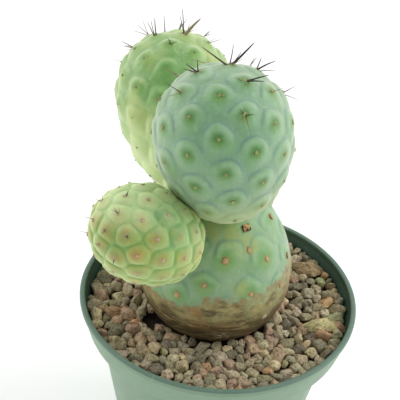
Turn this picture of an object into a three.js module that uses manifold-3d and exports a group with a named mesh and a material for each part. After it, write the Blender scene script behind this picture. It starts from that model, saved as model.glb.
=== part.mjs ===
// A potted variegated tephrocactus geometricus: four ball-shaped stem segments with flat hexagonal tubercles
// and dark crown spines, standing in a gravel-topped nursery pot. Millimetres, +Z up, origin at the centre of
// the pot's flat foot. The camera side of the plant faces -Y.
import * as THREE from "three";
import { mergeVertices } from "three/addons/utils/BufferGeometryUtils.js";
import { ConvexHull } from "three/addons/math/ConvexHull.js";
import Module from "manifold-3d";

const wasm = await Module();
wasm.setup();

// Driving dimensions of the pot
const POT_HEIGHT = 82;
const RIM_RADIUS = 52.5;
const BAND_HEIGHT = 12.4;
const BAND_FOOT_RADIUS = 49.5;
const BODY_TOP_RADIUS = 45.2;
const STEP_HEIGHT = 2.2;
const STEP_FILLET = 0.6;
const FOOT_RADIUS = 34.2;
const FOOT_CHAMFER = 1.2;
const WALL = 1.5;
const LIP_RADIUS = 1.1;
const FLOOR = 2;
const POT_SIDES = 44;
const ARC_STEPS = 3;
const DRAIN_HOLES = 6;
const DRAIN_RADIUS = 4;
const DRAIN_CIRCLE = 25;
const DRAIN_SIDES = 10;

// Driving dimensions of what fills the pot
const GAP = 0.3;
const SHORTEST_EDGE = 0.03;
const BED_TOP = 73.2;
const PEBBLES = 112;
const PEBBLE_SEED = 4127;
const PEBBLE_RADIUS = [2.9, 4.8];
const PEBBLE_FLATNESS = [0.62, 0.95];
const PEBBLE_ROUGHNESS = 0.16;
const PEBBLE_SPACING = 0.74;
const PEBBLE_TRIES = 6000;
const PEBBLE_TILT = 0.5;
const PEBBLE_RISE = [0.1, 0.45];
const PEBBLE_WIDTH = [0.72, 1];
const PEBBLE_RING = [17, 49];
const PLANT_CLEAR = 20.5;
const PLANT_OVERLAP = 0.6;
// Two larger stones lie on the right, an olive one in front and a tan one behind: place and half lengths.
const LARGE_STONES = [
  { at: [38.6, -9.5, 75.6], half: [5.9, 3.6, 3.3], turn: 0.15 },
  { at: [36.2, 24.5, 75.3], half: [5.2, 3.9, 3.2], turn: -0.5 },
];

// Driving dimensions of the stem segments. Each is an egg of revolution from its foot along its lean. The
// areoles follow a spiral round the crown, by a fixed turn from one to the next.
const SEGMENTS = {
  base_segment: {
    foot: [-2.1, 0, 67.3],
    lean: [0, 0, 1],
    length: 59.6,
    radius: 27.8,
    taper: -0.115,
    bluntness: 0.881,
    crown: [-0.018, -0.071, 1],
    areoles: 81,
    firstTurn: 74.2,
    turn: -137.43,
    crowding: 0.3,
    relief: 0.65,
    spiny: 0,
    color: "#6f9670",
  },
  front_segment: {
    foot: [1.2, -11.1, 125.3],
    lean: [-0.164, 0.002, 1],
    length: 53.8,
    radius: 22.4,
    taper: 0.136,
    bluntness: 0.915,
    crown: [-0.026, 0.021, 1],
    areoles: 66,
    firstTurn: 269.9,
    turn: -137.93,
    crowding: 0.085,
    relief: 0.9,
    spiny: 13,
    spineLength: 10.5,
    spineRadius: 0.42,
    spineSeed: 21,
    color: "#86aa8c",
  },
  back_segment: {
    foot: [-11.5, 26.7, 105],
    lean: [-0.29, 0.414, 1],
    length: 64.5,
    radius: 22.4,
    taper: 0.17,
    bluntness: 0.927,
    crown: [-0.35, 0.546, 1],
    areoles: 84,
    firstTurn: 256.1,
    turn: 137.66,
    crowding: 0.206,
    relief: 0.7,
    spiny: 15,
    spineLength: 8,
    spineRadius: 0.32,
    spineSeed: 57,
    color: "#93b873",
  },
  left_segment: {
    foot: [-12.4, -17.9, 114.3],
    lean: [-1.045, -0.851, 1],
    length: 42.4,
    radius: 16,
    taper: 0.015,
    bluntness: 0.929,
    crown: [-1.085, -0.993, 1],
    areoles: 71,
    firstTurn: 92.7,
    turn: -137.71,
    crowding: 0.086,
    relief: 0.7,
    spiny: 9,
    spineLength: 4.6,
    spineRadius: 0.3,
    spineSeed: 83,
    color: "#9fbd76",
  },
};
// Heights of the relief for a segment whose relief is 1, and where its rings lie between areole and corner.
const GROOVE_DEPTH = 0.85;
const SHOULDER_HEIGHT = 0.55;
const AREOLE_DIP = 0.05;
const AREOLE_HEIGHT = 0.55;
const SHOULDER_SHARE = 0.62;
const AREOLE_RING_RADIUS = 1.3;
const AREOLE_SIDES = 3;
const AREOLE_RISE = 0.05;
const JOINT_FADE = 0.22;
const SOIL_FADE = [77, 87];
const PLAIN_BELOW = 72;
const ROOT_RADIUS = [7, 2.2];
const ROOT_LENGTH = 26;
const ROOT_IN_FOOT = 4;
const ROOT_SIDES = 10;
const CUTTER_STEPS = 7;
const CUTTER_REACH = 0.33 * Math.PI;
const CUTTER_SIDES = 32;
const SPINE_SIDES = 3;
const SPINE_SUNK = 1.3;
const SPINE_SPREAD = 0.9;
const SPINES_EACH = [2, 4.4];
const SPINE_TILT = [0.25, 0.85];
const SPINE_SIZE = [0.45, 1];
const SPINE_SHRINK = 0.45;
const SPINE_OUTWARD = 0.45;
const SPINE_JITTER = 0.6;

const BAND_FOOT = POT_HEIGHT - BAND_HEIGHT;
const BODY_TOP = BAND_FOOT - STEP_HEIGHT;
const MIX_TOP = BAND_FOOT + WALL;

// Repeatable draws between 0 and 1.
function drawsFrom(seed) {
  let state = seed;
  return () => {
    state = (state * 48271) % 2147483647;
    return state / 2147483647;
  };
}

const between = ([low, high], share) => low + (high - low) * share;

// Closed meshes as solids, and solids as geometry.
function solidOf(geometry) {
  const bare = geometry.index ? geometry.toNonIndexed() : geometry.clone();
  for (const name of Object.keys(bare.attributes)) {
    if (name !== "position") bare.deleteAttribute(name);
  }
  const merged = mergeVertices(bare, 1e-4);
  const corners = [];
  const index = merged.index.array;
  for (let i = 0; i < index.length; i += 3) {
    const [a, b, c] = index.slice(i, i + 3);
    if (a !== b && b !== c && c !== a) corners.push(a, b, c);
  }
  return new wasm.Manifold(
    new wasm.Mesh({
      numProp: 3,
      vertProperties: merged.attributes.position.array,
      triVerts: new Uint32Array(corners),
    }),
  );
}

function geometryOf(solid) {
  const mesh = solid.getMesh();
  const geometry = new THREE.BufferGeometry();
  geometry.setAttribute("position", new THREE.BufferAttribute(mesh.vertProperties, 3));
  geometry.setIndex(new THREE.BufferAttribute(mesh.triVerts, 1));
  return geometry;
}

// The largest body of a solid, without the loose scraps that a cut can leave, and with its shortest edges
// drawn together into one point each.
function mainBody(solid) {
  const body = solid.decompose().reduce((best, part) => (part.volume() > best.volume() ? part : best));
  const { vertProperties: place, triVerts: index } = body.getMesh();
  const merged = Array.from({ length: place.length / 3 }, (_, i) => i);
  const rootOf = (i) => (merged[i] === i ? i : rootOf(merged[i]));
  const point = (i) => new THREE.Vector3(place[3 * i], place[3 * i + 1], place[3 * i + 2]);
  for (let i = 0; i < index.length; i += 3) {
    for (const [a, b] of [[0, 1], [1, 2], [2, 0]]) {
      const [from, to] = [rootOf(index[i + a]), rootOf(index[i + b])];
      if (from !== to && point(from).distanceTo(point(to)) < SHORTEST_EDGE) {
        merged[Math.max(from, to)] = Math.min(from, to);
      }
    }
  }
  const corners = Array.from(index, rootOf).flatMap((i) => point(i).toArray());
  const geometry = new THREE.BufferGeometry();
  geometry.setAttribute("position", new THREE.Float32BufferAttribute(corners, 3));
  return solidOf(geometry);
}

function named(name, solid, color, roughness) {
  const geometry = geometryOf(solid).toNonIndexed();
  geometry.computeVertexNormals();
  const material = new THREE.MeshStandardMaterial({ color, roughness, metalness: 0 });
  const mesh = new THREE.Mesh(geometry, material);
  mesh.name = name;
  return mesh;
}

// A closed outline of radius and height, turned round the Z axis.
function turned(outline, sides) {
  const geometry = new THREE.LatheGeometry(outline, sides);
  geometry.rotateX(Math.PI / 2);
  return solidOf(geometry);
}

// Inner radius of the pot at a height, less a clearance.
function innerRadius(height, clearance) {
  const onBand = height > BAND_FOOT;
  const outer = onBand
    ? between([BAND_FOOT_RADIUS, RIM_RADIUS], (height - BAND_FOOT) / BAND_HEIGHT)
    : between([FOOT_RADIUS, BODY_TOP_RADIUS], height / BODY_TOP);
  return outer - WALL - clearance;
}

// The pot: tapered wall, a soft step out to the deep band, a rounded lip and a flat floor with drain holes.
function buildPot() {
  const lipFoot = POT_HEIGHT - LIP_RADIUS;
  const outline = new THREE.Path();
  outline.moveTo(0, 0);
  outline.lineTo(FOOT_RADIUS - FOOT_CHAMFER, 0);
  outline.lineTo(FOOT_RADIUS, FOOT_CHAMFER);
  outline.lineTo(BODY_TOP_RADIUS, BODY_TOP);
  outline.quadraticCurveTo(BODY_TOP_RADIUS + STEP_FILLET, BAND_FOOT, BAND_FOOT_RADIUS, BAND_FOOT);
  outline.lineTo(RIM_RADIUS, lipFoot);
  outline.absarc(RIM_RADIUS - LIP_RADIUS, lipFoot, LIP_RADIUS, 0, Math.PI, false);
  outline.lineTo(innerRadius(MIX_TOP, 0), MIX_TOP);
  outline.lineTo(innerRadius(BODY_TOP, 0), BODY_TOP + WALL);
  outline.lineTo(innerRadius(FLOOR, 0), FLOOR);
  outline.lineTo(0, FLOOR);
  let pot = turned(outline.getPoints(ARC_STEPS), POT_SIDES);
  for (let k = 0; k < DRAIN_HOLES; k++) {
    const angle = ((k + 0.5) / DRAIN_HOLES) * 2 * Math.PI;
    const hole = new THREE.CylinderGeometry(DRAIN_RADIUS, DRAIN_RADIUS, 4 * FLOOR, DRAIN_SIDES);
    hole.rotateX(Math.PI / 2);
    hole.translate(DRAIN_CIRCLE * Math.cos(angle), DRAIN_CIRCLE * Math.sin(angle), 0);
    pot = pot.subtract(solidOf(hole));
  }
  return pot;
}

// Unit vectors of a segment's axis and two directions square to it.
function axesOf(direction) {
  const axis = new THREE.Vector3(...direction).normalize();
  const side = new THREE.Vector3().crossVectors(axis, new THREE.Vector3(0, 1, 0)).normalize();
  return [axis, side, new THREE.Vector3().crossVectors(axis, side)];
}

// The point of a segment's smooth egg that lies in a direction, raised along its normal.
function eggPoint(segment, direction, raise) {
  const [axis] = axesOf(segment.lean);
  const toApex = THREE.MathUtils.clamp(direction.dot(axis), -1, 1);
  const outward = direction.clone().addScaledVector(axis, -toApex);
  if (outward.length() > 1e-6) outward.normalize();
  const radiusAt = (c) =>
    segment.radius * Math.pow(Math.max(0, 1 - c * c), segment.bluntness / 2) * (1 + segment.taper * c);
  const step = 1e-3;
  const above = Math.min(1, toApex + step);
  const below = Math.max(-1, toApex - step);
  const rise = ((above - below) / 2) * segment.length;
  const swell = radiusAt(above) - radiusAt(below);
  const normal = outward.clone().multiplyScalar(rise).addScaledVector(axis, -swell).normalize();
  return new THREE.Vector3(...segment.foot)
    .addScaledVector(axis, ((1 + toApex) / 2) * segment.length)
    .addScaledVector(outward, radiusAt(toApex))
    .addScaledVector(normal, raise);
}

// Directions of the areoles, from the crown down.
function areoleDirections(segment) {
  const [crown, side, front] = axesOf(segment.crown);
  return Array.from({ length: segment.areoles }, (_, i) => {
    const share = Math.pow((i + 0.5) / segment.areoles, 1 + segment.crowding);
    const height = 1 - 2 * share;
    const reach = Math.sqrt(1 - height * height);
    const angle = THREE.MathUtils.degToRad(segment.firstTurn + segment.turn * i);
    return crown
      .clone()
      .multiplyScalar(height)
      .addScaledVector(side, reach * Math.cos(angle))
      .addScaledVector(front, reach * Math.sin(angle));
  });
}

// How much of the relief is left in a direction: none in the soil and little at the foot of a segment.
function reliefShare(segment, direction) {
  const point = eggPoint(segment, direction, 0);
  const [axis] = axesOf(segment.lean);
  const fromFoot = (1 + direction.dot(axis)) / 2;
  const atFoot = THREE.MathUtils.smoothstep(fromFoot, 0, JOINT_FADE);
  return segment.relief * atFoot * THREE.MathUtils.smoothstep(point.z, ...SOIL_FADE);
}

// A segment's skin. Every areole has a cell whose corners lie in the grooves. A ring of shoulders stands
// inside the grooves, and a small ring and a point make the areole. Each corner is shared by the cells that
// meet there.
function segmentSkin(segment, grown) {
  const areoles = areoleDirections(segment);
  const [axis] = axesOf(segment.crown);
  const seeds = areoles.map((a) => {
    const down = axis.clone().addScaledVector(a, -axis.dot(a)).multiplyScalar(-AREOLE_RISE);
    return a.clone().add(down).normalize();
  });
  const hull = new ConvexHull().setFromPoints(seeds);
  const cells = seeds.map(() => []);
  for (const face of hull.faces) {
    let edge = face.edge;
    do {
      cells[seeds.indexOf(edge.head().point)].push(face);
      edge = edge.next;
    } while (edge !== face.edge);
  }
  const triangles = [];
  const put = (...points) => points.forEach((p) => triangles.push(p.x, p.y, p.z));
  cells.forEach((faces, i) => {
    const areole = areoles[i];
    const [, side, front] = axesOf(areole.toArray());
    const angleOf = (face) => Math.atan2(face.normal.dot(front), face.normal.dot(side));
    const corners = faces.sort((a, b) => angleOf(a) - angleOf(b)).map((face) => face.normal);
    const share = reliefShare(segment, areole);
    const ringShare = AREOLE_RING_RADIUS / segment.radius;
    const ring = (part, raise) =>
      corners.map((corner) => {
        const direction = areole.clone().lerp(corner, part).normalize();
        return eggPoint(segment, direction, raise * share + grown);
      });
    const groove = corners.map((corner) => {
      const raise = -GROOVE_DEPTH * reliefShare(segment, corner);
      return eggPoint(segment, corner, raise + grown);
    });
    const centre = eggPoint(segment, areole, AREOLE_HEIGHT * share + grown);
    const plain = eggPoint(segment, areole, 0).z < PLAIN_BELOW;
    const shoulder = ring(SHOULDER_SHARE, SHOULDER_HEIGHT);
    const owner = (k) => Math.floor((k * AREOLE_SIDES) / corners.length);
    const pad = Array.from({ length: AREOLE_SIDES }, (_, m) => {
      const corner = corners[corners.findIndex((_, k) => owner(k) === m)];
      const away = corner.clone().sub(areole).normalize();
      const direction = areole.clone().addScaledVector(away, ringShare).normalize();
      return eggPoint(segment, direction, AREOLE_DIP * share + grown);
    });
    corners.forEach((_, k) => {
      const next = (k + 1) % corners.length;
      if (plain) {
        put(centre, groove[k], groove[next]);
        return;
      }
      const own = pad[owner(k)];
      const other = pad[owner(next)];
      put(own, shoulder[k], shoulder[next]);
      if (own !== other) put(own, shoulder[next], other, centre, own, other);
      put(shoulder[k], groove[k], groove[next], shoulder[k], groove[next], shoulder[next]);
    });
  });
  const geometry = new THREE.BufferGeometry();
  geometry.setAttribute("position", new THREE.Float32BufferAttribute(triangles, 3));
  return solidOf(geometry);
}

// The spines of a segment: a few three-sided spikes out of each areole near the crown, leaning away from it.
function spinesOf(segment) {
  const draw = drawsFrom(segment.spineSeed ?? 1);
  const [crown] = axesOf(segment.crown);
  const spikes = [];
  areoleDirections(segment)
    .slice(0, segment.spiny)
    .forEach((areole, i) => {
      const root = eggPoint(segment, areole, 0);
      const normal = eggPoint(segment, areole, 1).sub(root);
      const away = normal.clone().multiplyScalar(normal.dot(crown)).sub(crown).normalize();
      const across = new THREE.Vector3().crossVectors(normal, away);
      const count = Math.floor(between(SPINES_EACH, draw()));
      const firstTurn = draw() * 2 * Math.PI;
      for (let k = 0; k < count; k++) {
        const around = firstTurn + ((k + SPINE_JITTER * draw()) / count) * 2 * Math.PI;
        const tilt = between(SPINE_TILT, draw());
        const size = between(SPINE_SIZE, draw()) * (1 - (SPINE_SHRINK * i) / segment.spiny);
        const lean = away
          .clone()
          .multiplyScalar(SPINE_OUTWARD + Math.cos(around) * Math.sin(tilt))
          .addScaledVector(across, Math.sin(around) * Math.sin(tilt))
          .addScaledVector(normal, Math.cos(tilt))
          .normalize();
        const length = segment.spineLength * size + SPINE_SUNK;
        const spike = new THREE.ConeGeometry(segment.spineRadius, length, SPINE_SIDES);
        spike.translate(0, length / 2 - SPINE_SUNK, 0);
        spike.applyQuaternion(new THREE.Quaternion().setFromUnitVectors(new THREE.Vector3(0, 1, 0), lean));
        const apart = lean.clone().addScaledVector(normal, -lean.dot(normal)).multiplyScalar(SPINE_SPREAD);
        spike.translate(root.x + apart.x, root.y + apart.y, root.z + apart.z);
        spikes.push(solidOf(spike));
      }
    });
  return spikes;
}

// The plain body of revolution that a hole for the old segment's foot and root is cut with.
function footCutter(clearance) {
  const segment = SEGMENTS.base_segment;
  const outline = [];
  for (let k = 0; k <= CUTTER_STEPS; k++) {
    const toApex = -Math.cos((k / CUTTER_STEPS) * CUTTER_REACH);
    const reach = Math.sqrt(1 - toApex * toApex);
    const point = eggPoint(segment, new THREE.Vector3(reach, 0, toApex), clearance);
    outline.push(new THREE.Vector2(k === 0 ? 0 : point.x - segment.foot[0], point.z));
  }
  outline.push(new THREE.Vector2(0, outline.at(-1).y));
  const cutter = new THREE.LatheGeometry(outline, CUTTER_SIDES);
  cutter.rotateX(Math.PI / 2);
  cutter.translate(segment.foot[0], segment.foot[1], 0);
  return solidOf(cutter).add(rootStub(clearance));
}

function rootStub(clearance) {
  const [x, y, z] = SEGMENTS.base_segment.foot;
  const top = z + ROOT_IN_FOOT;
  const length = ROOT_LENGTH + ROOT_IN_FOOT + clearance;
  const root = new THREE.CylinderGeometry(
    ROOT_RADIUS[0] + clearance,
    ROOT_RADIUS[1] + clearance,
    length,
    ROOT_SIDES,
  );
  root.rotateX(Math.PI / 2);
  root.translate(x, y, top - length / 2);
  return solidOf(root);
}

// The substrate under the gravel, with a plain hole for the plant's foot and root.
function buildMix(cutter) {
  const low = FLOOR + GAP;
  const outline = [
    new THREE.Vector2(0, low),
    new THREE.Vector2(innerRadius(low, GAP), low),
    new THREE.Vector2(innerRadius(BODY_TOP, GAP), BODY_TOP),
    new THREE.Vector2(innerRadius(BODY_TOP, GAP), MIX_TOP),
    new THREE.Vector2(0, MIX_TOP),
  ];
  return turned(outline, POT_SIDES).subtract(cutter);
}

// One pebble: a twenty-sided stone with its corners pushed in and out.
function pebble(half, turn, draw) {
  const stone = new THREE.IcosahedronGeometry(1, 0);
  for (const name of ["normal", "uv"]) stone.deleteAttribute(name);
  const merged = mergeVertices(stone, 1e-4);
  const place = merged.attributes.position;
  for (let k = 0; k < place.count; k++) {
    const swell = 1 + PEBBLE_ROUGHNESS * (2 * draw() - 1);
    place.setXYZ(k, place.getX(k) * swell, place.getY(k) * swell, place.getZ(k) * swell);
  }
  merged.scale(...half);
  merged.rotateX(PEBBLE_TILT * (draw() - 0.5));
  merged.rotateZ(turn);
  return merged;
}

// Places of the pebbles: drawn in the ring between plant and wall, and kept where they leave each other room.
function pebblePlaces() {
  const draw = drawsFrom(PEBBLE_SEED);
  const places = LARGE_STONES.map((stone) => ({ ...stone, reach: stone.half[0] }));
  const [plantX, plantY] = SEGMENTS.base_segment.foot;
  for (let k = 0; k < PEBBLE_TRIES && places.length < PEBBLES; k++) {
    const reach = between(PEBBLE_RADIUS, draw() ** 1.5);
    const angle = draw() * 2 * Math.PI;
    const fromAxis = between(PEBBLE_RING, Math.sqrt(draw()));
    const x = fromAxis * Math.cos(angle);
    const y = fromAxis * Math.sin(angle);
    const z = BED_TOP + between(PEBBLE_RISE, draw()) * reach;
    const turn = draw() * Math.PI;
    const half = [reach, reach * between(PEBBLE_WIDTH, draw()), reach * between(PEBBLE_FLATNESS, draw())];
    if (fromAxis + reach > innerRadius(z, 2 * GAP)) continue;
    if (Math.hypot(x - plantX, y - plantY) - PLANT_OVERLAP * reach < PLANT_CLEAR) continue;
    const free = places.every(
      (p) => Math.hypot(p.at[0] - x, p.at[1] - y) > PEBBLE_SPACING * (p.reach + reach),
    );
    if (free) places.push({ at: [x, y, z], half, turn, reach });
  }
  return places;
}

// The gravel: a bed with every pebble sunk in and fused to it, and a plain hole for the plant.
function buildGravel(cutter) {
  const low = MIX_TOP + GAP;
  const outline = [
    new THREE.Vector2(0, low),
    new THREE.Vector2(innerRadius(low, GAP), low),
    new THREE.Vector2(innerRadius(BED_TOP, GAP), BED_TOP),
    new THREE.Vector2(0, BED_TOP),
  ];
  const draw = drawsFrom(PEBBLE_SEED + 1);
  const stones = pebblePlaces().map(({ at, half, turn }) => {
    const stone = pebble(half, turn, draw);
    stone.translate(...at);
    return solidOf(stone);
  });
  const bed = wasm.Manifold.union([turned(outline, POT_SIDES), ...stones]);
  const room = [
    new THREE.Vector2(0, low),
    new THREE.Vector2(innerRadius(low, GAP), low),
    new THREE.Vector2(innerRadius(POT_HEIGHT, GAP), POT_HEIGHT),
    new THREE.Vector2(0, POT_HEIGHT),
  ];
  return mainBody(bed.intersect(turned(room, POT_SIDES)).subtract(cutter));
}

const plant = {};
const neighbours = {};
for (const [name, segment] of Object.entries(SEGMENTS)) {
  plant[name] = wasm.Manifold.union([segmentSkin(segment, 0), ...spinesOf(segment)]);
  neighbours[name] = segmentSkin(segment, GAP);
}
plant.base_segment = mainBody(plant.base_segment.add(rootStub(0)));
plant.front_segment = mainBody(plant.front_segment.subtract(neighbours.base_segment));
plant.back_segment = mainBody(plant.back_segment.subtract(neighbours.base_segment));
plant.left_segment = mainBody(
  plant.left_segment.subtract(neighbours.base_segment).subtract(neighbours.front_segment),
);

const cutter = footCutter(2 * GAP);
const pottedPlant = new THREE.Group();
pottedPlant.add(named("pot", buildPot(), "#7fae98", 0.5));
pottedPlant.add(named("potting_mix", buildMix(cutter), "#4a3a2e", 0.95));
pottedPlant.add(named("gravel", buildGravel(cutter), "#8a7466", 0.95));
for (const [name, solid] of Object.entries(plant)) {
  pottedPlant.add(named(name, solid, SEGMENTS[name].color, 0.55));
}

export default pottedPlant;
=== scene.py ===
# A potted variegated tephrocactus geometricus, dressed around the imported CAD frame. Metres, +Z up, origin at
# the centre of the pot's flat foot. The side of the plant that faces -Y is the one in front of the camera.
import math
from types import SimpleNamespace

import bpy
import numpy as np
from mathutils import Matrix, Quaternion, Vector


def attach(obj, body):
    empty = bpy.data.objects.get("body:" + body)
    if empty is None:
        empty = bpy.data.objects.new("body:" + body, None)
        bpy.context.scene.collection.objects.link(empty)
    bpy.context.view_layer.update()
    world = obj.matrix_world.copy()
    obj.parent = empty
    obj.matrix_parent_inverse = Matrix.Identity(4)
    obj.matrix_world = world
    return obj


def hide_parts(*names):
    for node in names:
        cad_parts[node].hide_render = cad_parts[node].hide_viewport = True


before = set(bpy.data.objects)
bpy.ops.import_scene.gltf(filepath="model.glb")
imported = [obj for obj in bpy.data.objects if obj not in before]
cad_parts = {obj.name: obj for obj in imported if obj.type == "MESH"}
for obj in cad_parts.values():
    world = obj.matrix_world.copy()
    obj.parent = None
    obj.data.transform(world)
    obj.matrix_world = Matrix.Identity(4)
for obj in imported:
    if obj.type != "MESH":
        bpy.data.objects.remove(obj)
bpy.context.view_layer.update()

# The nursery pot is one injection moulding in green polypropylene, 1.5 mm
# thick. Its wall tapers to a flat foot with six drain holes, a soft step
# carries the deep band, and a rolled lip closes the top. It stands free.
MM = 0.001
POT_HEIGHT = 82 * MM
POT_RIM = 52.5 * MM
POT_BAND_FOOT = 69.6 * MM
POT_BAND_RADIUS = 49.5 * MM
POT_BODY_TOP = 67.4 * MM
POT_BODY_RADIUS = 45.2 * MM
POT_FOOT_RADIUS = 34.2 * MM
POT_WALL = 1.5 * MM
POT_FLOOR = 2 * MM
FOOT_CHAMFER = 1.2 * MM
POT_SIDES = 180
CURVE_STEPS = 6
LIP_HEIGHT = 1.9 * MM
BEAD_DEPTH = 0.28 * MM
DRAIN_HOLES = 6
DRAIN_RADIUS = 4 * MM
DRAIN_CIRCLE = 25 * MM
DRILL_SIDES = 28
LIP_WIDTH = 2.1 * MM
LIP_ROUNDING = 0.95 * MM
STEP_ROUNDING = 1.2 * MM
# The outside colour is made pale with painted reflection, the inside colour dark with painted shade; the lip
# colour is the plastic's own.
SAGE_OUTSIDE_WITH_SHEEN = (0.23, 0.352, 0.235)
GREEN_LIP = (0.12, 0.2, 0.15)
PAINTED_SHADE_INSIDE = (0.045, 0.098, 0.073)


def new_piece(name, points, faces):
    mesh = bpy.data.meshes.new(name)
    mesh.from_pydata(np.asarray(points).tolist(), [], np.asarray(faces, dtype=object).tolist())
    mesh.shade_smooth()
    mesh.update()
    piece = bpy.data.objects.new(name, mesh)
    bpy.context.scene.collection.objects.link(piece)
    return piece


def points_of(piece):
    places = np.zeros(len(piece.data.vertices) * 3)
    piece.data.vertices.foreach_get("co", places)
    return places.reshape(-1, 3)


def paint(piece, name, values):
    """Keeps a value or a colour for every point of a piece, for its material to read."""
    values = np.asarray(values, dtype=float)
    kind, field = ("FLOAT", "value") if values.ndim == 1 else ("FLOAT_COLOR", "color")
    piece.data.attributes.new(name, kind, "POINT").data.foreach_set(field, values.ravel())


def finish_piece(piece, material, node):
    piece.data.materials.append(material)
    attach(piece, "root")
    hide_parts(node)


def smoothstep(values, low, high):
    share = np.clip((values - low) / (high - low), 0, 1)
    return share * share * (3 - 2 * share)


def rounded_section(corners):
    """Points along a section whose corners are (radius, height, length that the rounding takes)."""
    points = []
    for k, (radius, height, rounding) in enumerate(corners):
        here = np.array([radius, height])
        if rounding == 0:
            points.append(here)
            continue
        before = np.array(corners[k - 1][:2]) - here
        after = np.array(corners[k + 1][:2]) - here
        start = here + before / np.linalg.norm(before) * rounding
        end = here + after / np.linalg.norm(after) * rounding
        for share in np.linspace(0, 1, CURVE_STEPS):
            middle = 2 * share * (1 - share)
            points.append((1 - share) ** 2 * start + middle * here + share**2 * end)
    return points


def turned_surface(rings, sides):
    """Points and faces of a closed skin through rings of (radius, height, centre x, centre y)."""
    turn = np.arange(sides) / sides * 2 * math.pi
    points, rows, faces = [], [], []
    for radius, height, x, y in rings:
        first = len(points)
        if radius == 0:
            points.append((x, y, height))
            rows.append([first] * sides)
        else:
            points.extend(zip(x + radius * np.cos(turn), y + radius * np.sin(turn), [height] * sides))
            rows.append(list(range(first, first + sides)))
    for low, high in zip(rows, rows[1:]):
        for i in range(sides):
            j = (i + 1) % sides
            faces.append(list(dict.fromkeys([low[i], low[j], high[j], high[i]])))
    return points, faces


def inner_radius(height):
    """Inner radius of the pot's wall at a height."""
    if height > POT_BAND_FOOT:
        share = (height - POT_BAND_FOOT) / (POT_HEIGHT - POT_BAND_FOOT)
        return POT_BAND_RADIUS + (POT_RIM - POT_BAND_RADIUS) * share - POT_WALL
    return POT_FOOT_RADIUS + (POT_BODY_RADIUS - POT_FOOT_RADIUS) * height / POT_BODY_TOP - POT_WALL


lip_foot = POT_HEIGHT - LIP_HEIGHT
shelf = POT_BAND_FOOT + POT_WALL
inner_step = POT_BODY_TOP + POT_WALL
band_at_lip = POT_RIM - 0.45 * MM
pot_section = rounded_section(
    [
        (0, 0, 0),
        (POT_FOOT_RADIUS - FOOT_CHAMFER, 0, 0.6 * MM),
        (POT_FOOT_RADIUS, FOOT_CHAMFER, 0.6 * MM),
        (POT_BODY_RADIUS, POT_BODY_TOP + 1.2 * MM, 1.6 * MM),
        (POT_BAND_RADIUS, POT_BAND_FOOT, 1.3 * MM),
        (band_at_lip, lip_foot - 0.5 * MM, 0.2 * MM),
        (band_at_lip - BEAD_DEPTH, lip_foot, 0.15 * MM),
        (POT_RIM, lip_foot + 0.25 * MM, 0.2 * MM),
        (POT_RIM, POT_HEIGHT, LIP_ROUNDING),
        (POT_RIM - LIP_WIDTH, POT_HEIGHT, LIP_ROUNDING),
        (inner_radius(lip_foot) + 0.1 * MM, lip_foot - 0.6 * MM, 0.4 * MM),
        (inner_radius(shelf), shelf, STEP_ROUNDING),
        (inner_radius(inner_step - POT_WALL), inner_step, STEP_ROUNDING),
        (inner_radius(POT_FLOOR), POT_FLOOR, 1 * MM),
        (0, POT_FLOOR, 0),
    ]
)
pot = new_piece("nursery_pot", *turned_surface([(r, z, 0, 0) for r, z in pot_section], POT_SIDES))

drill_heights = (-POT_FLOOR / 2, -POT_FLOOR / 2, 2 * POT_FLOOR, 2 * POT_FLOOR)
drill_points, drill_faces = [], []
for hole in range(DRAIN_HOLES):
    angle = (hole + 0.5) / DRAIN_HOLES * 2 * math.pi
    x, y = DRAIN_CIRCLE * math.cos(angle), DRAIN_CIRCLE * math.sin(angle)
    rings = [(radius, z, x, y) for radius, z in zip((0, DRAIN_RADIUS, DRAIN_RADIUS, 0), drill_heights)]
    places, faces = turned_surface(rings, DRILL_SIDES)
    drill_faces.extend([[i + len(drill_points) for i in face] for face in faces])
    drill_points.extend(places)
drills = new_piece("drills", drill_points, drill_faces)
cut = pot.modifiers.new("drain_holes", "BOOLEAN")
cut.object = drills
cut.solver = "EXACT"
drilled = bpy.data.meshes.new_from_object(pot.evaluated_get(bpy.context.evaluated_depsgraph_get()))
pot.modifiers.clear()
pot.data = drilled
bpy.data.objects.remove(drills)

pot_points = points_of(pot)
pot_reach = np.hypot(pot_points[:, 0], pot_points[:, 1])
wall_middle = np.array([inner_radius(z) for z in pot_points[:, 2]]) + POT_WALL / 2
outside = smoothstep(pot_reach - wall_middle, -0.3 * MM, 0.3 * MM)
outside[pot_points[:, 2] < 0.5 * MM] = 1
paint(pot, "outside", outside)
paint(pot, "lip", smoothstep(pot_points[:, 2], lip_foot + 1.0 * MM, lip_foot + 1.5 * MM))


def give(node, values):
    """Sets inputs of a node. Each is a plain value, a colour or the output of another node."""
    for name, value in values.items():
        socket = node.inputs[name]
        if isinstance(value, bpy.types.NodeSocket):
            node.id_data.links.new(value, socket)
        else:
            socket.default_value = (*value, 1) if socket.type == "RGBA" else value


def put(tree, kind, inputs=None, **settings):
    node = tree.nodes.new(kind)
    for name, value in settings.items():
        setattr(node, name, value)
    give(node, inputs or {})
    return node


def put_after(values, kind, **settings):
    """Adds a node in the tree of the first output among its input values, and gives its outputs."""
    tree = next(value.id_data for value in values.values() if isinstance(value, bpy.types.NodeSocket))
    return put(tree, kind, values, **settings).outputs


def sums(way):
    return lambda first, second: put_after({0: first, 1: second}, "ShaderNodeMath", operation=way)[0]


times, plus, minus = map(sums, ("MULTIPLY", "ADD", "SUBTRACT"))


def blend(share, first, second, way="MIX"):
    return put_after({0: share, 6: first, 7: second}, "ShaderNodeMix", data_type="RGBA", blend_type=way)[2]


def tinted(colour, mask, share, tint):
    """A colour turned to a tint, by this share where the mask is 1."""
    return blend(times(mask, share), colour, tint)


def fade(value, low, high):
    """Rises smoothly from 0 at low to 1 at high."""
    return put_after({0: value, 1: low, 2: high}, "ShaderNodeMapRange", interpolation_type="SMOOTHSTEP")[0]


def ranged(value, low, high):
    """Turns 0 to 1 into low to high."""
    return put_after({0: value, 3: low, 4: high}, "ShaderNodeMapRange")[0]


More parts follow.
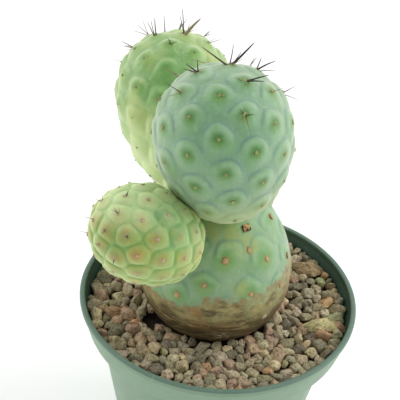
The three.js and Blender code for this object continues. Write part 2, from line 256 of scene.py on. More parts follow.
def kept(tree, name, field="Fac"):
    """What paint() keeps for the points of a piece."""
    return put(tree, "ShaderNodeAttribute", attribute_name=name).outputs[field]


def place_of(tree):
    return put(tree, "ShaderNodeTexCoord").outputs["Object"]


def grain(place, size, detail=3.0):
    """Soft noise with lumps of about this size, from 0 to 1."""
    return put_after({"Vector": place, "Scale": 1 / size, "Detail": detail}, "ShaderNodeTexNoise")["Fac"]


def add_bump(shader, height, strength, depth):
    bumped = put_after({"Height": height, "Strength": strength, "Distance": depth}, "ShaderNodeBump")
    give(shader, {"Normal": bumped[0]})


def new_material(name):
    material = bpy.data.materials.new(name)
    material.use_nodes = True
    return material, material.node_tree, material.node_tree.nodes["Principled BSDF"]


def new_group(name, inputs, outputs):
    """An empty node group with named inputs and outputs, then what it is given and where its results go."""
    group = bpy.data.node_groups.new(name, "ShaderNodeTree")
    for way, sockets in (("INPUT", inputs), ("OUTPUT", outputs)):
        for socket, kind in sockets.items():
            group.interface.new_socket(socket, in_out=way, socket_type="NodeSocket" + kind)
    return group, put(group, "NodeGroupInput").outputs, put(group, "NodeGroupOutput")


# Mottling is used by the plastic, the stones and the skins: two sizes of soft spots make a
# colour lighter and darker over the surface, and a height from the same spots serves for bump.
mottling, given, results = new_group(
    "mottling",
    {"Colour": "Color", "Place": "Vector", "Fineness": "Float", "Strength": "Float"},
    {"Colour": "Color", "Height": "Float"},
)
coarse = {"Vector": given["Place"], "Scale": given["Fineness"], "Detail": 4.0}
fine = {"Vector": given["Place"], "Scale": times(given["Fineness"], 5.3), "Detail": 2.0}
coarse, fine = [put_after(inputs, "ShaderNodeTexNoise")["Fac"] for inputs in (coarse, fine)]
spots = plus(coarse, times(fine, 0.6))
lightness = plus(times(minus(spots, 0.8), given["Strength"]), 1.0)
lit = put_after({0: given["Colour"], "Scale": lightness}, "ShaderNodeVectorMath", operation="SCALE")
give(results, {"Colour": lit[0], "Height": spots})


def use(group, tree, inputs):
    return put(tree, "ShaderNodeGroup", inputs, node_tree=group).outputs


def mottled(colour, place, size, strength):
    """Colour and height of a mottled surface with spots of about this size."""
    inputs = {"Place": place, "Colour": colour, "Fineness": 1 / size, "Strength": strength}
    return use(mottling, place.id_data, inputs)[:2]


# The pot's plastic is green, painted pale sage outside as painted reflection of the bright tent,
# painted a darker green inside as painted shade, and dull on the lip. It is faintly mottled, and
# pale where handling has scuffed it.
pot_plastic, tree, shader = new_material("pot_polypropylene")
place = place_of(tree)
# Painted reflection makes the outside pale and painted shade makes the inside dark.
colour = blend(kept(tree, "outside"), PAINTED_SHADE_INSIDE, SAGE_OUTSIDE_WITH_SHEEN)
colour = blend(kept(tree, "lip"), colour, GREEN_LIP)
colour, _ = mottled(colour, place, 9 * MM, 0.22)
scuffs = fade(grain(place, 2.2 * MM, 8.0), 0.62, 0.72)
colour = tinted(colour, scuffs, 0.12, (0.5, 0.58, 0.5))
give(shader, {"Base Color": colour, "Roughness": ranged(grain(place, 5 * MM), 0.38, 0.58)})
add_bump(shader, grain(place, 0.5 * MM, 2.0), 0.25, 0.15 * MM)
finish_piece(pot, pot_plastic, "pot")

# The potting mix fills the pot up to the gravel: dark peat and bark fines, poured in and pressed round
# the root. Only its crumbs between the pebbles can be seen. The plant's foot sits in a hollow in it.
MIX_FOOT = 2.3 * MM
MIX_TOP = 71.1 * MM
MIX_GAP = 0.3 * MM
PLANT_X = -2.1 * MM
ROOT_TOP_RADIUS = 7 * MM
ROOT_END_RADIUS = 2.2 * MM
ROOT_END = 41.3 * MM
HOLLOW_RADIUS = 16.6 * MM
MIX_RINGS = 25
MIX_SIDES = 150
PEAT_BROWN = (0.035, 0.024, 0.016)
BARK_BROWN = (0.12, 0.07, 0.04)


def length_of(vectors):
    return np.linalg.norm(vectors, axis=-1)


def ripple(points, size, seed, waves=28):
    """A smooth unevenness over the points, mostly between -1 and 1, with lumps of about the given size."""
    draw = np.random.default_rng(seed)
    ways = draw.normal(size=(waves, 3))
    ways *= math.pi / size * draw.uniform(0.6, 1.5, (waves, 1)) / length_of(ways)[:, None]
    waviness = np.sin(points @ ways.T + draw.uniform(0, 2 * math.pi, waves))
    return waviness.sum(axis=1) / math.sqrt(2 * waves)


mix_rings = [
    (0, ROOT_END - MIX_GAP, PLANT_X, 0),
    (ROOT_END_RADIUS + MIX_GAP, ROOT_END - MIX_GAP, PLANT_X, 0),
    (ROOT_TOP_RADIUS, 66.5 * MM, PLANT_X, 0),
    (12.5 * MM, 68.3 * MM, PLANT_X, 0),
    (HOLLOW_RADIUS, MIX_TOP - 0.4 * MM, PLANT_X, 0),
]
mix_wall = inner_radius(POT_BODY_TOP) - MIX_GAP
for share in np.linspace(0, 1, MIX_RINGS + 1)[1:]:
    mix_rings.append((HOLLOW_RADIUS + (mix_wall - HOLLOW_RADIUS) * share, MIX_TOP, PLANT_X * (1 - share), 0))
mix_rings.append((mix_wall, POT_BODY_TOP, 0, 0))
mix_rings.append((inner_radius(MIX_FOOT) - MIX_GAP, MIX_FOOT, 0, 0))
mix_rings.append((0, MIX_FOOT, 0, 0))
mix_points, mix_faces = turned_surface(mix_rings, MIX_SIDES)
mix_points = np.array(mix_points)
on_top = smoothstep(mix_points[:, 2], MIX_TOP - 0.3 * MM, MIX_TOP)
mix_points[:, 2] -= on_top * (0.35 + 0.3 * ripple(mix_points, 2.5 * MM, 3)).clip(0) * MM
mix = new_piece("potting_mix_crumb", mix_points, [face[::-1] for face in mix_faces])

mix_crumb, tree, shader = new_material("peat_and_bark")
place = place_of(tree)
colour = blend(fade(grain(place, 1.6 * MM, 5.0), 0.5, 0.68), PEAT_BROWN, BARK_BROWN)
colour, height = mottled(colour, place, 0.9 * MM, 0.9)
give(shader, {"Base Color": colour, "Roughness": 0.95})
add_bump(shader, height, 0.9, 0.5 * MM)
finish_piece(mix, mix_crumb, "potting_mix")

# The top dressing is loose pumice and lava gravel, 3 to 8 mm, poured round the plant. A lower layer
# of stones, darkened as painted shade, shows in the gaps of the upper one over a bed painted near black
# as painted shade, and a dark gap is left beside the plant, on its left.
GRAVEL_LEVEL = 76.6 * MM
LOWER_LEVEL = 73.5 * MM
BED_TOP = 72.6 * MM
BED_FOOT = 71.45 * MM
BED_FOOT_HOLE = 16.9 * MM
BED_GAP = 0.35 * MM
BED_RINGS = 40
BED_SIDES = 220
UNEVEN_FROM = (72 * MM, 72.5 * MM)
LOWER_STONES = 290
UPPER_STONES = 372
SETTLING_ROUNDS = 260
STONE_SHARES = [0.24, 0.18, 0.17, 0.14, 0.1, 0.09, 0.05, 0.03]
STONE_COLOURS = [
    (0.35, 0.3, 0.19), (0.41, 0.295, 0.193), (0.43, 0.37, 0.25), (0.29, 0.26, 0.17),
    (0.53, 0.44, 0.27), (0.2, 0.175, 0.12), (0.44, 0.28, 0.15), (0.33, 0.33, 0.18),
]
LARGE_STONES = [
    {"at": (38.4, -9.5, 75.7), "half": (6.2, 3.7, 3.2), "turn": 0.15, "colour": (0.58, 0.52, 0.26)},
    {"at": (36.4, 23.5, 76), "half": (5.4, 3.9, 3.2), "turn": -0.5, "colour": (0.4, 0.3, 0.16)},
]
GAP_BESIDE_PLANT = (-24.5 * MM, -13 * MM, 3.6 * MM)
PLANT_FOOTPRINT = 23.2 * MM


def unit(vectors):
    vectors = np.asarray(vectors, dtype=float)
    return vectors / np.linalg.norm(vectors, axis=-1, keepdims=True)


def geodesic(parts):
    """Points on the unit sphere, and triangles, of an icosahedron whose faces are divided into parts."""
    golden = (1 + math.sqrt(5)) / 2
    ways = [(a, b * golden, 0) for b in (1, -1) for a in (-1, 1)]
    corners = np.array([np.roll(way, turn) for turn in range(3) for way in ways])
    sides = [(0, 11, 5), (0, 5, 1), (0, 1, 7), (0, 7, 10), (0, 10, 11), (1, 5, 9), (5, 11, 4)]
    sides += [(11, 10, 2), (10, 7, 6), (7, 1, 8), (3, 9, 4), (3, 4, 2), (3, 2, 6), (3, 6, 8)]
    sides += [(3, 8, 9), (4, 9, 5), (2, 4, 11), (6, 2, 10), (8, 6, 7), (9, 8, 1)]
    known, points, triangles = {}, [], []
    for a, b, c in corners[np.array(sides)]:
        rows = []
        for i in range(parts + 1):
            row = []
            for j in range(parts + 1 - i):
                point = a + (b - a) * i / parts + (c - a) * j / parts
                key = tuple(np.round(point, 5) + 0.0)
                if key not in known:
                    known[key] = len(points)
                    points.append(point)
                row.append(known[key])
            rows.append(row)
        for i in range(parts):
            for j in range(parts - i):
                triangles.append((rows[i][j], rows[i + 1][j], rows[i][j + 1]))
                if j < parts - i - 1:
                    triangles.append((rows[i + 1][j], rows[i + 1][j + 1], rows[i][j + 1]))
    return unit(points), np.array(triangles)


def stone_shape(ball, draw, roughness):
    """A worn, blunt-cornered stone: a ball cut by soft planes and roughened."""
    planes = unit(draw.normal(size=(12, 3)))
    depths = draw.uniform(0.64, 1.0, 12)
    cuts = np.clip(ball @ planes.T, 0.01, None) / depths
    reach = (cuts**15).sum(axis=1) ** (-1 / 15)
    lumps = ripple(ball, 0.6, draw.integers(1e6)) + 0.75 * ripple(ball, 0.3, draw.integers(1e6))
    return ball * (np.clip(reach, 0, 1.25) * (1 + roughness * lumps))[:, None]


def turned_about(points, axis, angle):
    axis = unit(axis)
    along = (points @ axis)[:, None] * axis
    return along + (points - along) * math.cos(angle) + np.cross(axis, points) * math.sin(angle)


def spread_stones(count, radii_range, closeness, seed):
    """Places and radii of stones poured into the ring between plant and wall, pushed apart until they fit."""
    draw = np.random.default_rng(seed)
    low, high = radii_range
    radii = low + (high - low) * draw.beta(1.9, 2.5, count)
    angle = draw.uniform(0, 2 * math.pi, count)
    wall = inner_radius(GRAVEL_LEVEL) - 0.4 * MM
    from_axis = np.sqrt(draw.uniform(PLANT_FOOTPRINT**2, wall**2, count))
    places = np.stack([from_axis * np.cos(angle), from_axis * np.sin(angle)], axis=1)
    fixed = [(PLANT_X, 0, PLANT_FOOTPRINT), GAP_BESIDE_PLANT]
    for stone in LARGE_STONES:
        way = np.array([math.cos(stone["turn"]), math.sin(stone["turn"])])
        for share in (-0.4, 0.4):
            x, y = np.array(stone["at"][:2]) + share * stone["half"][0] * way
            fixed.append((x * MM, y * MM, stone["half"][1] * 0.9 * MM))
    for _ in range(SETTLING_ROUNDS):
        apart = places[:, None] - places[None]
        distance = length_of(apart) + np.eye(count)
        room = closeness * (radii[:, None] + radii[None])
        push = np.clip(room - distance, 0, None) * (1 - np.eye(count))
        places += 0.4 * (apart / distance[:, :, None] * push[:, :, None]).sum(axis=1)
        for x, y, reach in fixed:
            away = places - (x, y)
            span = length_of(away)
            places += away / span[:, None] * np.clip(reach + 0.85 * radii - span, 0, None)[:, None]
        span = length_of(places)
        places *= np.minimum(1, (wall - radii * 0.95) / span)[:, None]
    return places, radii


def poured_layer(name, places, radii, level, parts, roughness, shade, seed):
    draw = np.random.default_rng(seed)
    ball, triangles = geodesic(parts)
    uneven = ripple(np.column_stack([places, np.zeros(len(places))]), 14 * MM, 5)
    points, faces, colours = [], [], []
    for k, ((x, y), radius) in enumerate(zip(places, radii)):
        flatness = (1.06, draw.uniform(0.76, 1), draw.uniform(0.7, 0.95))
        stone = stone_shape(ball, draw, roughness) * radius * flatness
        stone = turned_about(stone, (1, 0, 0), draw.uniform(-0.5, 0.5))
        stone = turned_about(stone, (0, 0, 1), draw.uniform(0, 2 * math.pi))
        height = level - 0.45 * radius + (0.5 * uneven[k] + draw.uniform(-0.55, 0.45)) * MM
        faces.append(triangles + len(points) * len(ball))
        points.append(stone + (x, y, height))
        colour = STONE_COLOURS[draw.choice(len(STONE_COLOURS), p=STONE_SHARES)]
        colour = np.array(colour) * shade * draw.uniform(0.8, 1.2) * draw.uniform(0.96, 1.04, 3)
        colours.append(np.tile((*colour, 1), (len(ball), 1)))
    layer = new_piece(name, np.concatenate(points), np.concatenate(faces))
    paint(layer, "stone_colour", np.concatenate(colours))
    return layer


bed_hole = PLANT_FOOTPRINT - 3.6 * MM
bed_wall = inner_radius(LOWER_LEVEL) - BED_GAP
bed_rings = []
for share in np.linspace(0, 1, BED_RINGS):
    bed_rings.append((bed_hole + (bed_wall - bed_hole) * share, BED_TOP, PLANT_X * (1 - share), 0))
bed_rings.append((inner_radius(BED_FOOT) - BED_GAP, BED_FOOT, 0, 0))
bed_rings.append((BED_FOOT_HOLE, BED_FOOT, PLANT_X, 0))
bed_points, bed_faces = turned_surface(bed_rings, BED_SIDES)
last = (len(bed_rings) - 1) * BED_SIDES
for i in range(BED_SIDES):
    j = (i + 1) % BED_SIDES
    bed_faces.append([last + i, last + j, j, i])
bed_points = np.array(bed_points)
on_top = smoothstep(bed_points[:, 2], *UNEVEN_FROM)
bed_points[:, 2] += on_top * (0.25 + 0.45 * ripple(bed_points, 1.7 * MM, 8)) * MM
gravel_bed = new_piece("gravel_bed", bed_points, [face[::-1] for face in bed_faces])
# Painted shade: the bed under the stones is kept near black, so that the gaps between stones are dark.
bed_painted_shade = 0.3 + 0.12 * ripple(bed_points, 2.4 * MM, 9)
bed_colours = np.outer(bed_painted_shade, (0.16, 0.12, 0.09))
paint(gravel_bed, "stone_colour", np.column_stack([bed_colours, np.ones(len(bed_points))]))

# Painted shade: the lower layer's stone colours are scaled down to 0.42, the upper ones up to 1.3.
places, radii = spread_stones(LOWER_STONES, (1.5 * MM, 3 * MM), 0.9, 11)
layers = [poured_layer("gravel_lower_layer", places, radii, LOWER_LEVEL, 3, 0.06, 0.42, 12)]
places, radii = spread_stones(UPPER_STONES, (1.2 * MM, 3.5 * MM), 0.95, 23)
behind = places[:, 1] > 0
for name, chosen, seed in (("gravel_upper_back", behind, 24), ("gravel_upper_front", ~behind, 25)):
    layers.append(poured_layer(name, places[chosen], radii[chosen], GRAVEL_LEVEL, 6, 0.085, 1.3, seed))

ball, triangles = geodesic(18)
large_points, large_colours, large_faces = [], [], []
draw = np.random.default_rng(31)
for stone in LARGE_STONES:
    shape = stone_shape(ball, draw, 0.045)
    pits = smoothstep(ripple(ball, 0.16, draw.integers(1e6)), 0.55, 1.0)
    shape = shape * (1 - 0.05 * pits)[:, None] * (np.array(stone["half"]) * 1.08 * MM)
    shape = turned_about(shape, (0, 0, 1), stone["turn"]) + np.array(stone["at"]) * MM
    large_faces.append(triangles + len(large_points) * len(ball))
    large_points.append(shape)
    # Painted shade: the stone colour is darkened in the pits.
    tint = (1 - 0.45 * pits + 0.18 * ripple(ball, 0.5, draw.integers(1e6)))[:, None] * stone["colour"]
    large_colours.append(np.column_stack([tint, np.ones(len(ball))]))
large_stones = new_piece("large_stones", np.concatenate(large_points), np.concatenate(large_faces))
paint(large_stones, "stone_colour", np.concatenate(large_colours))

lava_stone, tree, shader = new_material("pumice_and_lava")
place = place_of(tree)
colour, height = mottled(kept(tree, "stone_colour", "Color"), place, 1.1 * MM, 1.3)
pores = put_after({"Vector": place, "Scale": 1 / (0.75 * MM)}, "ShaderNodeTexVoronoi")["Distance"]
pores = fade(pores, 0.14, 0.38)
# Painted shade: the pores darken the stone colour.
colour = blend(0.8, colour, blend(pores, (0.34, 0.3, 0.26), (1, 1, 1)), "MULTIPLY")
flecks = fade(grain(place, 0.35 * MM, 2.0), 0.66, 0.74)
colour = tinted(colour, flecks, 0.5, (0.5, 0.45, 0.38))
give(shader, {"Base Color": colour, "Roughness": 0.93, "Specular IOR Level": 0.3})
add_bump(shader, plus(height, times(pores, 0.8)), 1.0, 0.45 * MM)
for stones in (gravel_bed, *layers, large_stones):
    finish_piece(stones, lava_stone, "gravel")

# The base segment is the oldest joint of the stem: a firm, water-filled barrel with a waxy green skin, flat
# tubercles and corky areoles. Its lower half has turned to brown bark. It stands on its root in the mix.
SKIN_PARTS = 64
JOINT_FADE = 0.22
SOIL_FADE = (77 * MM, 87 * MM)
SKIN_CLEARANCE = 0.3 * MM
DEEPEST_PRESS = 9 * MM
PRESS_HALVINGS = 18
CLIMB_FADE = (-0.1, 0.54)
MASK_GAIN = 1.6
UNEVEN, ROUGH = 0.16 * MM, 0.035 * MM
SHOULDER_AT, SHOULDER_WIDTH, SHOULDER_RISE = 0.24, 0.17, 0.1
CREASE_WIDTH, CREASE_WIDTH_BELOW = 0.11, 0.5
DOME_WIDTH = 0.85
DIMPLE_WIDTH, DIMPLE_DEPTH = 0.2, 0.16


class Segment(SimpleNamespace):
    """One joint: an egg of revolution in mm, its areoles' spiral round a crown, and its tubercles' relief."""

    moved, smoothed, worn_off, cell_edge = {}, (), (), 0.0

    def __init__(self, **sizes):
        super().__init__(**sizes)
        self.axis, self.up = unit(self.lean), unit(self.crown)
        self.start = np.array(self.foot) * MM
        self.middle = self.start + self.axis * self.length * MM / 2


def bell(values, width):
    return np.exp(-((values / width) ** 2))


BASE = Segment(
    foot=(-2.1, 0, 67.3), lean=(0, 0, 1), length=59.6, radius=27.8, taper=-0.115, bluntness=0.881,
    crown=(-0.018, -0.071, 1), worn_off=(10, 13, 23), smoothed=(10, 13, 18, 23),
    moved={26: (-1.4, 2.7), 31: (1.8, 3.1), 18: (0.9, -1.8), 39: (1.5, -0.3), 15: (1.5, -1.5)},
    areole_rise=-0.01, areoles=81, first_turn=74.2, turn=-137.43, crowding=0.3, relief=0.65, dome=0.6,
    crease=0.34, flank_groove=0.06, crease_inset=0.21, corner_rounding=0.16, line_width=0.62,
)
CORK_EDGE = 101.8 * MM
CORK_DROP_LEFT = 6 * MM
CORK_RISE_RIGHT = 3 * MM
CORK_BORDER = 3.8 * MM
RING_SCAR = (0.08, -0.99, -0.12)
LIME_DOT = (0.63, -0.73, -0.27)
PALE_SMEAR = (0.14, -0.85, -0.51)
CRUST = (0.33, -0.48, 0.81)
BASE_YELLOW = [(-4, -16, 120, 4.5), (2, -16, 120.5, 4.5), (8, -17, 117, 4.5)]
BASE_YELLOW += [(6.6, -25.5, 104, 3.4), (-18, 14, 112, 9), (12, 20, 106, 8)]
DARK_BARK, LIGHT_BARK = (0.1, 0.068, 0.025), (0.42, 0.37, 0.135)
# The last colour of this line is painted shade for the bark's foot.
LICHEN, RUST, PAINTED_SHADE_FOOT = (0.36, 0.41, 0.19), (0.31, 0.155, 0.045), (0.038, 0.022, 0.009)
BARK_RING, BARK_SPECK, BARK_CRACK = (0.55, 0.42, 0.2), (0.52, 0.48, 0.26), (0.07, 0.045, 0.02)
SCAR, PALE_MARK = (0.42, 0.38, 0.2), (0.72, 0.68, 0.5)
ROOT_DROP = 22 * MM


def skin_radius(segment, toward):
    """Radius of a segment's smooth egg, for a share of -1 at its foot to 1 at its crown."""
    bulge = np.maximum(0, 1 - toward**2) ** (segment.bluntness / 2)
    return segment.radius * MM * bulge * (1 + segment.taper * toward)


def on_egg(segment, directions):
    """Points and normals of a segment's smooth egg, in directions from its middle."""
    toward = np.clip(directions @ segment.axis, -1, 1)
    outward = directions - toward[:, None] * segment.axis
    outward /= np.maximum(length_of(outward), 1e-9)[:, None]
    above, below = np.minimum(1, toward + 1e-3), np.maximum(-1, toward - 1e-3)
    rise = (above - below) / 2 * segment.length * MM
    swell = skin_radius(segment, above) - skin_radius(segment, below)
    normals = unit(outward * rise[:, None] - swell[:, None] * segment.axis)
    along = (1 + toward) / 2 * segment.length * MM
    outward *= skin_radius(segment, toward)[:, None]
    return segment.start + along[:, None] * segment.axis + outward, normals


def find_areoles(segment):
    """Directions of a segment's areoles on their spiral round the crown, and the seeds of their tubercles."""
    crown = segment.up
    side = unit(np.cross(crown, (0, 1, 0)))
    count = np.arange(segment.areoles)
    height = 1 - 2 * ((count + 0.5) / segment.areoles) ** (1 + segment.crowding)
    reach = np.sqrt(1 - height**2)
    angle = np.radians(segment.first_turn + segment.turn * count)
    across = np.cos(angle)[:, None] * side + np.sin(angle)[:, None] * np.cross(crown, side)
    areoles = height[:, None] * crown + reach[:, None] * across
    for index, (aside, uphill) in segment.moved.items():
        level = unit(np.cross(crown, areoles[index]))
        step = aside * level + uphill * np.cross(areoles[index], level)
        areoles[index] = unit(areoles[index] + step / (segment.length / 2))
    lowered = areoles - segment.areole_rise * (crown - areoles * (areoles @ crown)[:, None])
    raised = ~np.isin(count, segment.smoothed)
    segment.areole_ways = areoles
    segment.seeds = unit(lowered)[raised]
    segment.areole_points, _ = on_egg(segment, areoles[raised])
    girth = segment.radius * (segment.radius + segment.length) / 3
    segment.tubercle = math.sqrt(4 * math.pi * girth / segment.areoles / 3.46) * MM


def tubercles(segment, directions):
    """The relief of a segment's skin in metres, and masks of its grooves, shoulders and areoles.

    Each tubercle has one seed, and its skin reaches half way to the next ones. Where it meets a tubercle
    nearer the crown, a crease arches over its own side, rounded at the corners and fading at the flanks.
    """
    seeds, crown = segment.seeds, segment.up
    nearness = directions @ seeds.T
    order = np.argsort(-nearness, axis=1)[:, :5]
    own, others = order[:, 0], order[:, 1:]
    rows = np.arange(len(directions))
    mean_radius = (segment.radius + segment.length / 2) / 2 * MM
    size = segment.tubercle
    gaps = np.empty(others.shape)
    for k, other in enumerate(others.T):
        span = length_of(seeds[other] - seeds[own])
        gaps[:, k] = (nearness[rows, own] - nearness[rows, other]) / span * mean_radius
    softness = segment.corner_rounding * size
    rounded_gap = -softness * np.log(np.exp(-gaps / softness).sum(axis=1))
    uphill = unit(crown - seeds * (seeds @ crown)[:, None])
    arch, line, shoulder = np.zeros((3, len(directions)))
    for k, other in enumerate(others.T):
        own_is_lower = seeds[own] @ crown < seeds[other] @ crown
        lower = np.where(own_is_lower, own, other)
        across = directions - seeds[lower]
        climb = (across * uphill[lower]).sum(axis=1) / np.maximum(length_of(across), 1e-6)
        strength = segment.flank_groove + (1 - segment.flank_groove) * smoothstep(climb, *CLIMB_FADE)
        inside = np.where(own_is_lower, rounded_gap, -gaps[:, k]) - segment.crease_inset * size
        width = np.where(inside > 0, CREASE_WIDTH, CREASE_WIDTH_BELOW) * size
        arch = np.maximum(arch, strength * np.exp(-np.abs(inside) / width))
        line = np.maximum(line, strength * bell(inside, segment.line_width * MM))
        hump = bell(inside - SHOULDER_AT * size, SHOULDER_WIDTH * size)
        shoulder = np.maximum(shoulder, np.where(own_is_lower, strength * hump, 0))
    smooth, _ = on_egg(segment, directions)
    from_areole = length_of(smooth - segment.areole_points[own])
    downhill = -((smooth - segment.areole_points[own]) * uphill[own]).sum(axis=1)
    from_foot = (1 + directions @ segment.axis) / 2
    share = segment.relief * smoothstep(from_foot, 0, JOINT_FADE) * smoothstep(smooth[:, 2], *SOIL_FADE)
    dome = segment.dome * bell(from_areole, DOME_WIDTH * size)
    dimple = DIMPLE_DEPTH * bell(from_areole, DIMPLE_WIDTH * size)
    height = dome - segment.crease * arch - dimple + SHOULDER_RISE * shoulder
    height += segment.cell_edge * (1 - np.exp(-np.maximum(rounded_gap, 0) / (0.2 * size)))
    tints = np.random.default_rng(7).uniform(0, 1, len(seeds))
    share_of_next = np.exp(-gaps / (0.3 * size))
    tint = (tints[own] + (tints[others] * share_of_next).sum(axis=1)) / (1 + share_of_next.sum(axis=1))
    return {
        "height": height * share * MM,
        "line": line * np.minimum(1, share * MASK_GAIN),
        "groove": arch,
        "shoulder": shoulder * np.minimum(1, share * MASK_GAIN),
        "from_areole": from_areole / MM,
        "downhill": downhill / MM,
        "tubercle_tint": tint,
        "from_foot": from_foot,
    }


def from_skin(points, neighbour, depth):
    """How far points, drawn back toward a neighbour's middle by a depth, lie outside its smooth egg."""
    away = unit(points - neighbour.middle)
    probe = points - away * np.reshape(depth, (-1, 1)) - neighbour.start
    along = probe @ neighbour.axis
    toward = 2 * along / (neighbour.length * MM) - 1
    reach = length_of(probe - along[:, None] * neighbour.axis)
    gap = reach - skin_radius(neighbour, np.clip(toward, -1, 1))
    return np.where(np.abs(toward) > 1, 1.0, gap), away


def pressed_clear(points, neighbour):
    """Points inside a neighbour's skin are drawn out to it, so that both touch without cutting in."""
    nearest = length_of(points - neighbour.middle) < 1.4 * neighbour.length * MM
    chosen = np.flatnonzero(nearest)
    gap, _ = from_skin(points[chosen], neighbour, 3 * MM)
    chosen = chosen[gap < 0]
    if len(chosen) == 0:
        return points
    offsets = points[chosen] - neighbour.middle
    along = offsets @ neighbour.axis
    across = unit(offsets - along[:, None] * neighbour.axis)
    tilt = np.clip(along / (neighbour.length * MM / 2), -1, 1)
    ways = tilt[:, None] * neighbour.axis + across * np.sqrt(1 - tilt**2)[:, None]
    depth = tubercles(neighbour, ways)["height"] + SKIN_CLEARANCE
    low, high = np.zeros(len(chosen)), np.full(len(chosen), DEEPEST_PRESS)
    gap, away = from_skin(points[chosen], neighbour, depth)
    for _ in range(PRESS_HALVINGS):
        middle_step = (low + high) / 2
        gap_there, _ = from_skin(points[chosen] + away * middle_step[:, None], neighbour, depth)
        low = np.where(gap_there < 0, middle_step, low)
        high = np.where(gap_there < 0, high, middle_step)
    moved = points.copy()
    moved[chosen] += away * np.where(gap < 0, high, 0)[:, None]
    return moved


def skin_piece(name, segment, neighbours=()):
    """A segment's skin: its smooth egg with tubercles, small unevenness and room for its neighbours."""
    find_areoles(segment)
    ball, triangles = geodesic(SKIN_PARTS)
    smooth, normals = on_egg(segment, ball)
    skin = tubercles(segment, ball)
    raised = skin["height"] + UNEVEN * ripple(smooth, 9 * MM, 41) + ROUGH * ripple(smooth, 1.9 * MM, 42)
    points = smooth + normals * raised[:, None]
    for neighbour in neighbours:
        points = pressed_clear(points, neighbour)
    piece = new_piece(name, points, triangles)
    for mask in ("line", "groove", "shoulder", "from_areole", "downhill", "tubercle_tint", "from_foot"):
        paint(piece, mask, skin[mask])
    return piece, ball, smooth


def distance_to(points, segment, direction):
    centre, _ = on_egg(segment, unit([direction]))
    return length_of(points - centre) / MM


def patches_at(points, spots, seed):
    """A mask of soft, uneven patches, each given as a centre and a radius in mm."""
    mask = np.zeros(len(points))
    uneven = 0.3 * ripple(points, 5 * MM, seed) + 0.12 * ripple(points, 2 * MM, seed + 1)
    for x, y, z, radius in spots:
        far = length_of(points - np.array([x, y, z]) * MM) / (radius * MM)
        mask = np.maximum(mask, smoothstep(-far - uneven, -1.25, -0.35))
    return mask


base, ball, smooth = skin_piece("base_joint", BASE)
cork_line = CORK_EDGE + (1.3 * ripple(smooth, 11 * MM, 51) + 0.8 * ripple(smooth, 3.4 * MM, 52)) * MM
cork_line -= CORK_DROP_LEFT * smoothstep(-smooth[:, 0], -2 * MM, 15 * MM)
cork_line += CORK_RISE_RIGHT * smoothstep(smooth[:, 0], 14 * MM, 25 * MM)
cork = smoothstep(cork_line - smooth[:, 2], -CORK_BORDER, CORK_BORDER)
scar = distance_to(smooth, BASE, RING_SCAR)
ring = bell(scar - 1.35, 0.32) + 0.8 * bell(scar, 0.35)
dot = smoothstep(-distance_to(smooth, BASE, LIME_DOT), -1.35, -0.85)
smear = distance_to(smooth, BASE, PALE_SMEAR)
smear = smoothstep(ripple(smooth, 0.9 * MM, 53), 0.1, 0.6) * smoothstep(-smear, -4.2, -1.5)
_, outward = on_egg(BASE, ball)
furrows = ripple(smooth * (1, 1, 3.4), 3.2 * MM, 54)
furrows = -0.12 * bell(furrows, 0.16) + 0.08 * ripple(smooth, 1.6 * MM, 55)
bark_relief = cork * (furrows + 0.12) + 0.3 * ring + 0.35 * dot + 0.12 * smear
base_points = points_of(base) + outward * bark_relief[:, None] * MM
base_points[:, 2] -= ROOT_DROP * smoothstep(-ball[:, 2], 0.955, 1.0) ** 1.5
base.data.vertices.foreach_set("co", base_points.ravel())
base.data.update()
paint(base, "cork", cork)
paint(base, "crack", smoothstep(-furrows, 0.02, 0.14) * cork)
paint(base, "scar", ring)
paint(base, "pale_marks", np.maximum(dot, 0.8 * smear))
paint(base, "yellow", patches_at(smooth, BASE_YELLOW, 56))

# Waxy skin is shared by all four joints: green flesh under a pale bloom that thins round the areoles,
# with pale streaks down the sides that are partly rubbed bloom and partly painted reflection. The
# grooves and the hollows above them are darkened as painted shade, and the shoulders under them are
# lightened as painted light.
SKIN_TINTS = ("Flesh", "Bloom", "Halo", "Halo Below", "Hollow", "Groove", "Shoulder")


def stretched(place, scale):
    return put_after({"Vector": place, "Scale": scale}, "ShaderNodeMapping")[0]


waxy_skin, given, results = new_group(
    "waxy_skin",
    {"Place": "Vector", **dict.fromkeys(SKIN_TINTS, "Color"), "Halo Size": "Float", "Groove Share": "Float"},
    {"Colour": "Color", "Roughness": "Float"},
)
place, halo_size = given["Place"], given["Halo Size"]
from_areole = kept(waxy_skin, "from_areole")
patchy = ranged(fade(grain(place, 8 * MM, 5.0), 0.38, 0.62), 0.4, 1.0)
wax = times(fade(from_areole, times(halo_size, 0.35), times(halo_size, 1.3)), patchy)
tint = blend(wax, given["Flesh"], given["Bloom"])
# Painted shade: the hollow tint darkens the skin round each groove.
tint = tinted(tint, kept(waxy_skin, "groove"), 0.45, given["Hollow"])
# Pale streaks down the sides: partly bloom, partly painted reflection.
streaks = fade(grain(stretched(place, (1, 1, 0.22)), 1.7 * MM, 4.0), 0.5, 0.72)
tint = tinted(tint, streaks, 0.35, given["Shoulder"])
spot = blend(fade(kept(waxy_skin, "downhill"), -0.6, 1.8), given["Halo"], given["Halo Below"])
speckled = ranged(fade(grain(place, 0.9 * MM), 0.3, 0.6), 0.65, 0.95)
tint = tinted(tint, fade(from_areole, halo_size, times(halo_size, 0.1)), speckled, spot)
broken = ranged(fade(grain(place, 5 * MM, 4.0), 0.36, 0.6), 0.3, 1.0)
# Painted light: the shoulder tint lightens the shoulders under the grooves.
tint = tinted(tint, times(kept(waxy_skin, "shoulder"), broken), 0.5, given["Shoulder"])
# Painted shade: the groove tint darkens each groove line.
tint = tinted(tint, times(kept(waxy_skin, "line"), broken), given["Groove Share"], given["Groove"])
give(results, {"Colour": tint, "Roughness": ranged(wax, 0.44, 0.58)})


